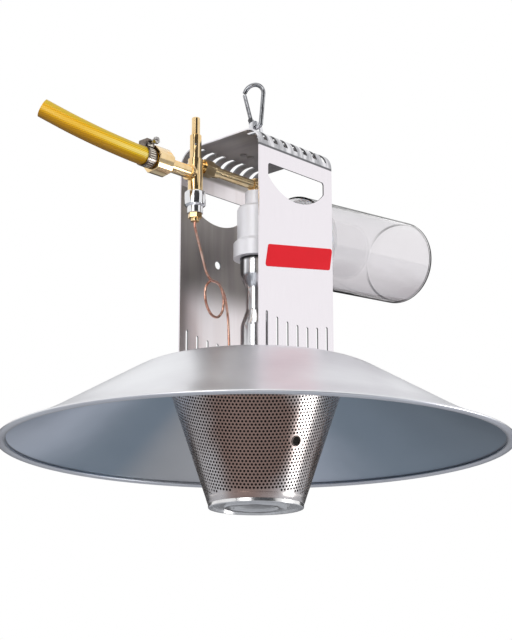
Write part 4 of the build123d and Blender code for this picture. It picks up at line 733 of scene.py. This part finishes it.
# Gas line of turned brass: injector elbow with its jet, supply tube, gland nut, safety valve with
# its bonnet and button, union and lead nut. The edges are broken, and the drawn tube and its gland
# nut are paler and less bright.
brass = worn_metal("brass", rgb(0.93, 0.72, 0.42), rgb(0.80, 0.55, 0.26), 0.07, 0.17, scale=140)
satin_brass = worn_metal("satin_brass", rgb(0.98, 0.80, 0.50), rgb(0.90, 0.67, 0.36), 0.10, 0.20, scale=140)
for brass_node, finish, edge in (
    ("supply_tube", satin_brass, 0.0002),
    ("outlet_nut", satin_brass, 0.0005),
    ("injector_elbow", brass, 0.0005),
    ("valve_body", brass, 0.0004),
    ("valve_bonnet", brass, 0.0002),
    ("push_button", brass, 0.0002),
    ("sensor_nut", brass, 0.0004),
    ("union_nut", brass, 0.0006),
    ("lead_bush", brass, 0.0003),
):
    dress(softened(brass_node, edge), finish, brass_node)
paint(brass, "injector_jet", "hose_tail")
PIN_EDGE = 0.0001
dress(softened("bonnet_pin", PIN_EDGE), zinc, "bonnet_pin")

# Button spring: the plain sleeve that stands for the coil inside the bonnet. It is zinc-plated like
# the pin; the coil shortens as the button goes down, and here the sleeve gets a mesh of its own.
button_spring = dress(softened("button_spring"), zinc, "button_spring")
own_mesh(button_spring)

# Magnet unit: a chromed steel cup with a stepped neck, screwed into the valve from below. It is
# the brightest piece of the gas line, polished all round.
chrome = worn_metal("chrome", rgb(0.86, 0.86, 0.88), rgb(0.74, 0.74, 0.76), 0.04, 0.10, scale=160)
dress(softened("magnet_housing", NUT_EDGE), chrome, "magnet_housing")

# Sensor lead: a copper capillary with one slack loop, pushed down through a bush in the dish. It is
# bent by hand, and the copper has dark patches of oxide.
copper = worn_metal("copper", rgb(0.98, 0.68, 0.55), rgb(0.62, 0.27, 0.19), 0.08, 0.20, scale=300)
dress(softened("sensor_lead"), copper, "sensor_lead")

# Dust filter: a moulded end cap of milky plastic on the mixer's spout, a silicone ring, a thin felt
# sleeve and a clear cup that pulls off along the tilted axis. The cup is tinted darker low down, and
# its wall is painted dark as a painted reflection where it is seen edge on and round its far end.
FILTER_TILT = math.radians(4.4)
FILTER_AXIS = (math.cos(FILTER_TILT), 0, math.sin(FILTER_TILT))
FILTER_UP = (-math.sin(FILTER_TILT), 0, math.cos(FILTER_TILT))
FILTER_FOOT = (0, 0, CROWN_Z + 0.1425)
BOWL_R = 0.0450
BOWL_WALL = 0.0018
BOWL_NEAR = 0.057
BOWL_FAR = 0.2334
BOWL_ROUND = 0.005
LIP_ROUND = 0.0005
CLEAR_TINT = rgb(0.89, 0.875, 0.89)
LOW_TINT = rgb(0.70, 0.675, 0.69)
EDGE_TINT = rgb(0.008, 0.007, 0.008)
LOW_FULL = -0.034
LOW_END = -0.010
bowl_corners = [
    (0, BOWL_FAR),
    (BOWL_R, BOWL_FAR),
    (BOWL_R, BOWL_NEAR),
    (BOWL_R - BOWL_WALL, BOWL_NEAR),
    (BOWL_R - BOWL_WALL, BOWL_FAR - BOWL_WALL),
    (0, BOWL_FAR - BOWL_WALL),
]
bowl_rounds = (0, BOWL_ROUND, LIP_ROUND, LIP_ROUND, BOWL_ROUND - BOWL_WALL, 0)
bowl_outline = rounded(bowl_corners, bowl_rounds, 8)
clear_cup, shader, where = new_finish(
    "clear_cup", IOR=1.05, Transmission_Weight=1.0, Coat_Weight=1.0, Coat_IOR=1.55, Coat_Roughness=0.02
)
from_foot = where.vector("SUBTRACT", FILTER_FOOT)
along = from_foot.dot(FILTER_AXIS)
above = from_foot.dot(FILTER_UP)
off_axis = from_foot.vector("CROSS_PRODUCT", FILTER_AXIS).length()
grazing = where.node("ShaderNodeLayerWeight", {}, {"Blend": 0.5}, output="Facing")
end_round = along.between(BOWL_FAR - 1.05 * BOWL_ROUND, BOWL_FAR - BOWL_ROUND)
end_round = end_round * off_axis.between(BOWL_R - 0.8 * BOWL_ROUND, BOWL_R - 0.6 * BOWL_ROUND)
end_round = end_round * grazing.between(0.29, 0.37)
# The wall is painted dark where it is seen edge on and round its far end, as a painted reflection.
painted_outline = where.math("MAXIMUM", grazing.between(0.82, 0.87), end_round)
# The cup is tinted darker towards the bottom.
low_wobble = 0.012 * where.stretched((1, 1, 4)).noise(40, 3.0)
darker_low = 1 - (above + low_wobble).between(LOW_FULL, LOW_END)
painted_outline.tint(darker_low.tint(CLEAR_TINT, LOW_TINT), EDGE_TINT).into(shader, "Base Color")
(1 - painted_outline).into(shader, "Coat Weight")
(0.02 + 0.05 * where.noise(60, 3.0).between(0.45, 0.8)).into(shader, "Roughness")
bowl = lathe("filter_bowl_look", bowl_outline, steps=128, origin=FILTER_FOOT, axis=FILTER_AXIS)
dress(bowl, clear_cup, "filter_bowl")
bowl.visible_shadow = False
cap_plastic, shader, where = new_finish(
    "cap_plastic", Subsurface_Weight=0.8, Subsurface_Scale=0.04, Alpha=0.4
)
shader.inputs["Subsurface Radius"].default_value = (1, 1, 1)
where.noise(40, 2.0).tint(rgb(0.95, 0.95, 0.96), rgb(0.90, 0.90, 0.92)).into(shader, "Base Color")
(0.35 + 0.1 * where.noise(200, 3.0)).into(shader, "Roughness")
MOULD_EDGE = 0.0003
dress(softened("filter_end_cap", MOULD_EDGE), cap_plastic, "filter_end_cap")
silicone, shader, where = new_finish("silicone", Subsurface_Weight=0.2)
where.noise(200, 3.0).tint(rgb(0.62, 0.61, 0.62), rgb(0.70, 0.69, 0.70)).into(shader, "Base Color")
(0.4 + 0.15 * where.noise(600, 2.0)).into(shader, "Roughness")
SEAL_EDGE = 0.0004
dress(softened("filter_seal", SEAL_EDGE), silicone, "filter_seal")
FELT_EDGE = 0.0008
END_RING = 0.0036
RING_BLUR = 0.001
element_points = [vertex.co for vertex in frame["nodes"]["filter_element"].data.vertices]
element_end = max((point - Vector(FILTER_FOOT)).dot(Vector(FILTER_AXIS)) for point in element_points)
felt, shader, where = new_finish("felt", Sheen_Weight=0.3, Alpha=0.07)
along = where.vector("SUBTRACT", FILTER_FOOT).dot(FILTER_AXIS)
end_ring = along.between(element_end - END_RING, element_end - END_RING + RING_BLUR)
fibres = where.noise(300, 5.0).tint(rgb(0.78, 0.76, 0.77), rgb(0.84, 0.82, 0.83))
end_ring.tint(fibres, rgb(0.45, 0.44, 0.45)).into(shader, "Base Color")
(0.85 + 0.1 * where.noise(500, 2.0)).into(shader, "Roughness")
where.noise(1500, 5.0).bumps(shader, 2e-4)
dress(softened("filter_element", FELT_EDGE, 3), felt, "filter_element")

# Gas hose: yellow rubber with a braid under its skin, pushed on the barb of the tail and cut square.
# The skin turns amber towards the cut; its top is painted olive as shading, a painted highlight runs pale
# along its side, and its underside is painted darker as shade, darkest at the bottom.
INLET_Z = CROWN_Z + 0.1805
HOSE_START = -0.1449
HOSE_R = 0.009
HOSE_BORE_R = 0.00475
HOSE_SIDES = 48
BRAID_STRANDS = 22
BRAID_PITCH = 2 * math.pi * HOSE_R / BRAID_STRANDS
HOSE_ROUTE = [
    (0.0, 0.0, 0.0),
    (0.0159, 0.0, 0.0),
    (0.0313, 0.0029, 0.0024),
    (0.0516, 0.0087, 0.0070),
    (0.0703, 0.0170, 0.0138),
    (0.0868, 0.0278, 0.0225),
    (0.1005, 0.0405, 0.0329),
]


def smooth_route(name, route):
    """Points of a NURBS spline of order 3 whose control points are the route's points."""
    curve = bpy.data.curves.new(name, "CURVE")
    curve.dimensions = "3D"
    curve.resolution_u = 16
    spline = curve.splines.new("NURBS")
    spline.points.add(len(route) - 1)
    spline.points.foreach_set("co", np.append(route, np.ones((len(route), 1)), axis=1).ravel())
    spline.order_u = 3
    spline.use_endpoint_u = True
    holder = bpy.data.objects.new(name, curve)
    mesh = bpy.data.meshes.new_from_object(holder)
    line = np.empty(len(mesh.vertices) * 3)
    mesh.vertices.foreach_get("co", line)
    bpy.data.objects.remove(holder)
    bpy.data.meshes.remove(mesh)
    return line.reshape(-1, 3)


away, aside, rise = np.array(HOSE_ROUTE).T
hose_route = np.stack([HOSE_START - away, aside, INLET_Z + rise], axis=1)
hose_line = smooth_route("hose_route", hose_route)
hose_run = np.gradient(hose_line, axis=0)
hose_run /= np.linalg.norm(hose_run, axis=1)[:, None]
hose_side = np.cross(hose_run, (0, 0, 1))
hose_side /= np.linalg.norm(hose_side, axis=1)[:, None]
hose_top = np.cross(hose_side, hose_run)
turn = np.linspace(0, 2 * math.pi, HOSE_SIDES, endpoint=False)[None, :, None]
ring = np.cos(turn) * hose_side[:, None] + np.sin(turn) * hose_top[:, None]
hose_skin = hose_line[:, None] + HOSE_R * ring
hose_bore = (hose_line[:, None] + HOSE_BORE_R * ring)[::-1]
hose_rings = np.concatenate([hose_skin, hose_bore])
hose = mesh_of("gas_hose_look", hose_rings, grid_faces(len(hose_rings), HOSE_SIDES))


def wrap_map(piece, along, columns):
    """UV map of a tube made of rings: the run along its line in metres, and the turn from 0 to 1,
    where the faces that close the ring end at 1."""
    mesh = piece.data
    corner_vertex = np.empty(len(mesh.loops), dtype=int)
    mesh.loops.foreach_get("vertex_index", corner_vertex)
    ring_row, ring_column = np.divmod(corner_vertex, columns)
    quads = ring_column.reshape(-1, 4)
    closing = np.repeat(quads.max(axis=1) - quads.min(axis=1) > 1, 4)
    turns = np.where(closing & (ring_column == 0), columns, ring_column) / columns
    layer = mesh.uv_layers.new(name="wrap")
    layer.data.foreach_set("uv", np.stack([along[ring_row], turns], axis=1).ravel())


hose_steps = np.linalg.norm(np.diff(hose_line, axis=0), axis=1)
hose_along = np.append(0, np.cumsum(hose_steps))
wrap_map(hose, np.concatenate([hose_along, hose_along[::-1]]), HOSE_SIDES)
yellow_hose, shader, where = new_finish(
    "yellow_hose", "UV", Specular_IOR_Level=0.15, Coat_Weight=0.2, Coat_Roughness=0.05
)
turned = where.axis("Y") * (2 * math.pi * BRAID_STRANDS)
run = where.axis("X") * (2 * math.pi / BRAID_PITCH)
right_hand = where.math("SINE", turned + run)
left_hand = where.math("SINE", turned - run)
strand = where.math("MAXIMUM", left_hand, 0.5 * right_hand).between(0.1, 0.9)
upward = where.math("SINE", where.axis("Y") * (2 * math.pi))
# The top is painted olive as shading.
top_shading = upward.between(0.22, 0.34)
amber = where.axis("X").between(0.0, 0.09)
skin = amber.tint(rgb(0.90, 0.60, 0.012), rgb(0.88, 0.46, 0.005))
skin = top_shading.tint(skin, rgb(0.68, 0.48, 0.022))
# A painted highlight runs pale along the side.
side_highlight = upward.band(-0.50, -0.32, -0.12, 0.10)
skin = (0.9 * side_highlight * (1 - 0.75 * amber)).tint(skin, rgb(1.0, 0.82, 0.24))
# The underside is painted darker as shade, darkest at the bottom.
under_shade = 1 - upward.between(-0.72, -0.46)
skin = (0.8 * under_shade).tint(skin, rgb(0.46, 0.21, 0.003))
skin = (0.6 * strand * (1 - 0.6 * side_highlight)).tint(skin, rgb(0.36, 0.16, 0.004))
low_shadow = 1 - upward.between(-0.99, -0.80)
(0.7 * low_shadow).tint(skin, rgb(0.26, 0.12, 0.004)).into(shader, "Base Color")
(0.26 + 0.14 * strand).into(shader, "Roughness")
strand.bumps(shader, 4e-5, 0.4)
dress(hose, yellow_hose, "gas_hose")

# Worm clamp: a slotted steel band round the hose, drawn tight by a screw in a pressed housing. The
# band has browned, and its slots are painted pale.
BAND_SLOTS = 26
BAND_SLOT_HALF = 0.0034
SLOT_BLUR = 0.0004
clamp_steel = worn_metal("clamp_steel", rgb(0.60, 0.58, 0.57), rgb(0.12, 0.11, 0.11), 0.06, 0.16, scale=250)
slotted_steel, shader, where = new_finish("slotted_steel", Metallic=1.0)
band_low, band_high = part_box("hose_clamp_band")
from_axis = where.vector("SUBTRACT", (0, 0, INLET_Z))
turn_angle = from_axis.math("ARCTAN2", from_axis.axis("Z"), from_axis.axis("Y"))
slot_wave = turn_angle.math("SINE", turn_angle * BAND_SLOTS).between(0.1, 0.5)
off_middle = where.math("ABSOLUTE", where.axis("X") - (band_low.x + band_high.x) / 2)
slots = slot_wave * (1 - off_middle.between(BAND_SLOT_HALF - SLOT_BLUR, BAND_SLOT_HALF))
wear = where.noise(250, 4.0).between(0.3, 0.7).tint(rgb(0.24, 0.20, 0.17), rgb(0.12, 0.10, 0.09))
slots.tint(wear, rgb(0.80, 0.74, 0.64)).into(shader, "Base Color")
(0.14 + 0.2 * slots).into(shader, "Roughness")
clamp_band = dress(softened("hose_clamp_band", FASTENER_EDGE), slotted_steel, "hose_clamp_band")
clamp_screw = dress(softened("hose_clamp_screw", FASTENER_EDGE), clamp_steel, "hose_clamp_screw")

# Stage: a pale floor below the hanging lamp, soft lamps, a white surround and the camera at the
# photograph's angle, which looks up from just below the rim.
FLOOR_Z = -0.72
FLOOR_HALF = 12.0
CAMERA_AT = (-1.1580, -1.0887, -0.670796)
CAMERA_AHEAD = np.array((0.7286, 0.6850, 0.0))
CAMERA_RIGHT = np.array((0.6850, -0.7286, 0.0))


def sheet(name, corners, colour):
    """A flat stage sheet of one plain colour."""
    mesh = bpy.data.meshes.new(name)
    mesh.from_pydata([tuple(corner) for corner in corners], [], [(0, 1, 2, 3)])
    mesh.materials.append(new_finish(name, Roughness=0.9, Base_Color=colour)[0])
    piece = add_piece(name, mesh)
    return piece


floor_corners = [(-1, -1), (1, -1), (1, 1), (-1, 1)]
sheet("floor", [(x * FLOOR_HALF, y * FLOOR_HALF, FLOOR_Z) for x, y in floor_corners], rgb(0.50, 0.52, 0.56))


def flag(name, ahead, right, half_width, low, high):
    """A dark studio flag across the camera's line, which only reflections see."""
    middle = ahead * CAMERA_AHEAD + right * CAMERA_RIGHT
    side = half_width * CAMERA_RIGHT
    foot = middle + np.array((0, 0, low))
    head = middle + np.array((0, 0, high))
    piece = sheet(name, [foot - side, foot + side, head + side, head - side], rgb(0.06, 0.06, 0.06))
    piece.visible_camera = False
    piece.visible_diffuse = False
    piece.visible_transmission = False
    piece.visible_shadow = False


flag("flag_behind", 1.6, 0.0, 2.0, FLOOR_Z, 0.45)
flag("flag_in_front", -2.2, 0.9, 1.5, FLOOR_Z, 1.6)
flag("flag_at_left", -1.6, -1.4, 0.35, FLOOR_Z, 1.2)


def soft_lamp(name, place, aim, size, watts):
    """A square area lamp that faces its aim."""
    lamp = bpy.data.lights.new(name, "AREA")
    lamp.size = size
    lamp.energy = watts
    holder = bpy.data.objects.new(name, lamp)
    holder.location = place
    direction = np.array(aim) - np.array(place)
    holder.rotation_mode = "QUATERNION"
    holder.rotation_quaternion = Vector(direction).to_track_quat("-Z", "Y")
    bpy.context.scene.collection.objects.link(holder)


soft_lamp("key_lamp", (-1.9, -1.5, 1.5), (0, 0, -0.25), 2.6, 26)
soft_lamp("side_lamp", (0.33, -0.52, -0.48), (0, 0, -0.38), 0.24, 1.0)
soft_lamp("fill_lamp", (-1.285, -0.385, -0.10), (0, 0, -0.20), 0.7, 3.0)

world = bpy.data.worlds.new("white_surround")
bpy.context.scene.world = world
world.use_nodes = True
background = world.node_tree.nodes["Background"]
background.inputs["Color"].default_value = rgb(1, 1, 1)
paths = world.node_tree.nodes.new("ShaderNodeLightPath")
seen = Wire(world.node_tree, paths.outputs["Is Camera Ray"])
shiny = Wire(world.node_tree, paths.outputs["Is Glossy Ray"])
through = Wire(world.node_tree, paths.outputs["Is Transmission Ray"])
SURROUND_LIGHT = 0.75
shown = seen.math("ADD", seen.math("MAXIMUM", seen, shiny), through, clamp=True)
(SURROUND_LIGHT + (1 - SURROUND_LIGHT) * shown).into(background, "Strength")

CAMERA_PITCH = math.radians(14.91)
PHOTO_WIDTH = 512
FOCAL_PIXELS = 1664.1
SENSOR_WIDTH = 36.0
ahead = CAMERA_AHEAD * math.cos(CAMERA_PITCH) + np.array((0, 0, math.sin(CAMERA_PITCH)))
camera_data = bpy.data.cameras.new("camera")
camera_data.sensor_fit = "HORIZONTAL"
camera_data.sensor_width = SENSOR_WIDTH
camera_data.lens = SENSOR_WIDTH * FOCAL_PIXELS / PHOTO_WIDTH
camera = bpy.data.objects.new("camera", camera_data)
camera.location = CAMERA_AT
camera.rotation_mode = "QUATERNION"
camera.rotation_quaternion = Vector(ahead).to_track_quat("-Z", "Y")
bpy.context.scene.collection.objects.link(camera)
bpy.context.scene.camera = camera
bpy.context.scene.view_settings.view_transform = "Standard"
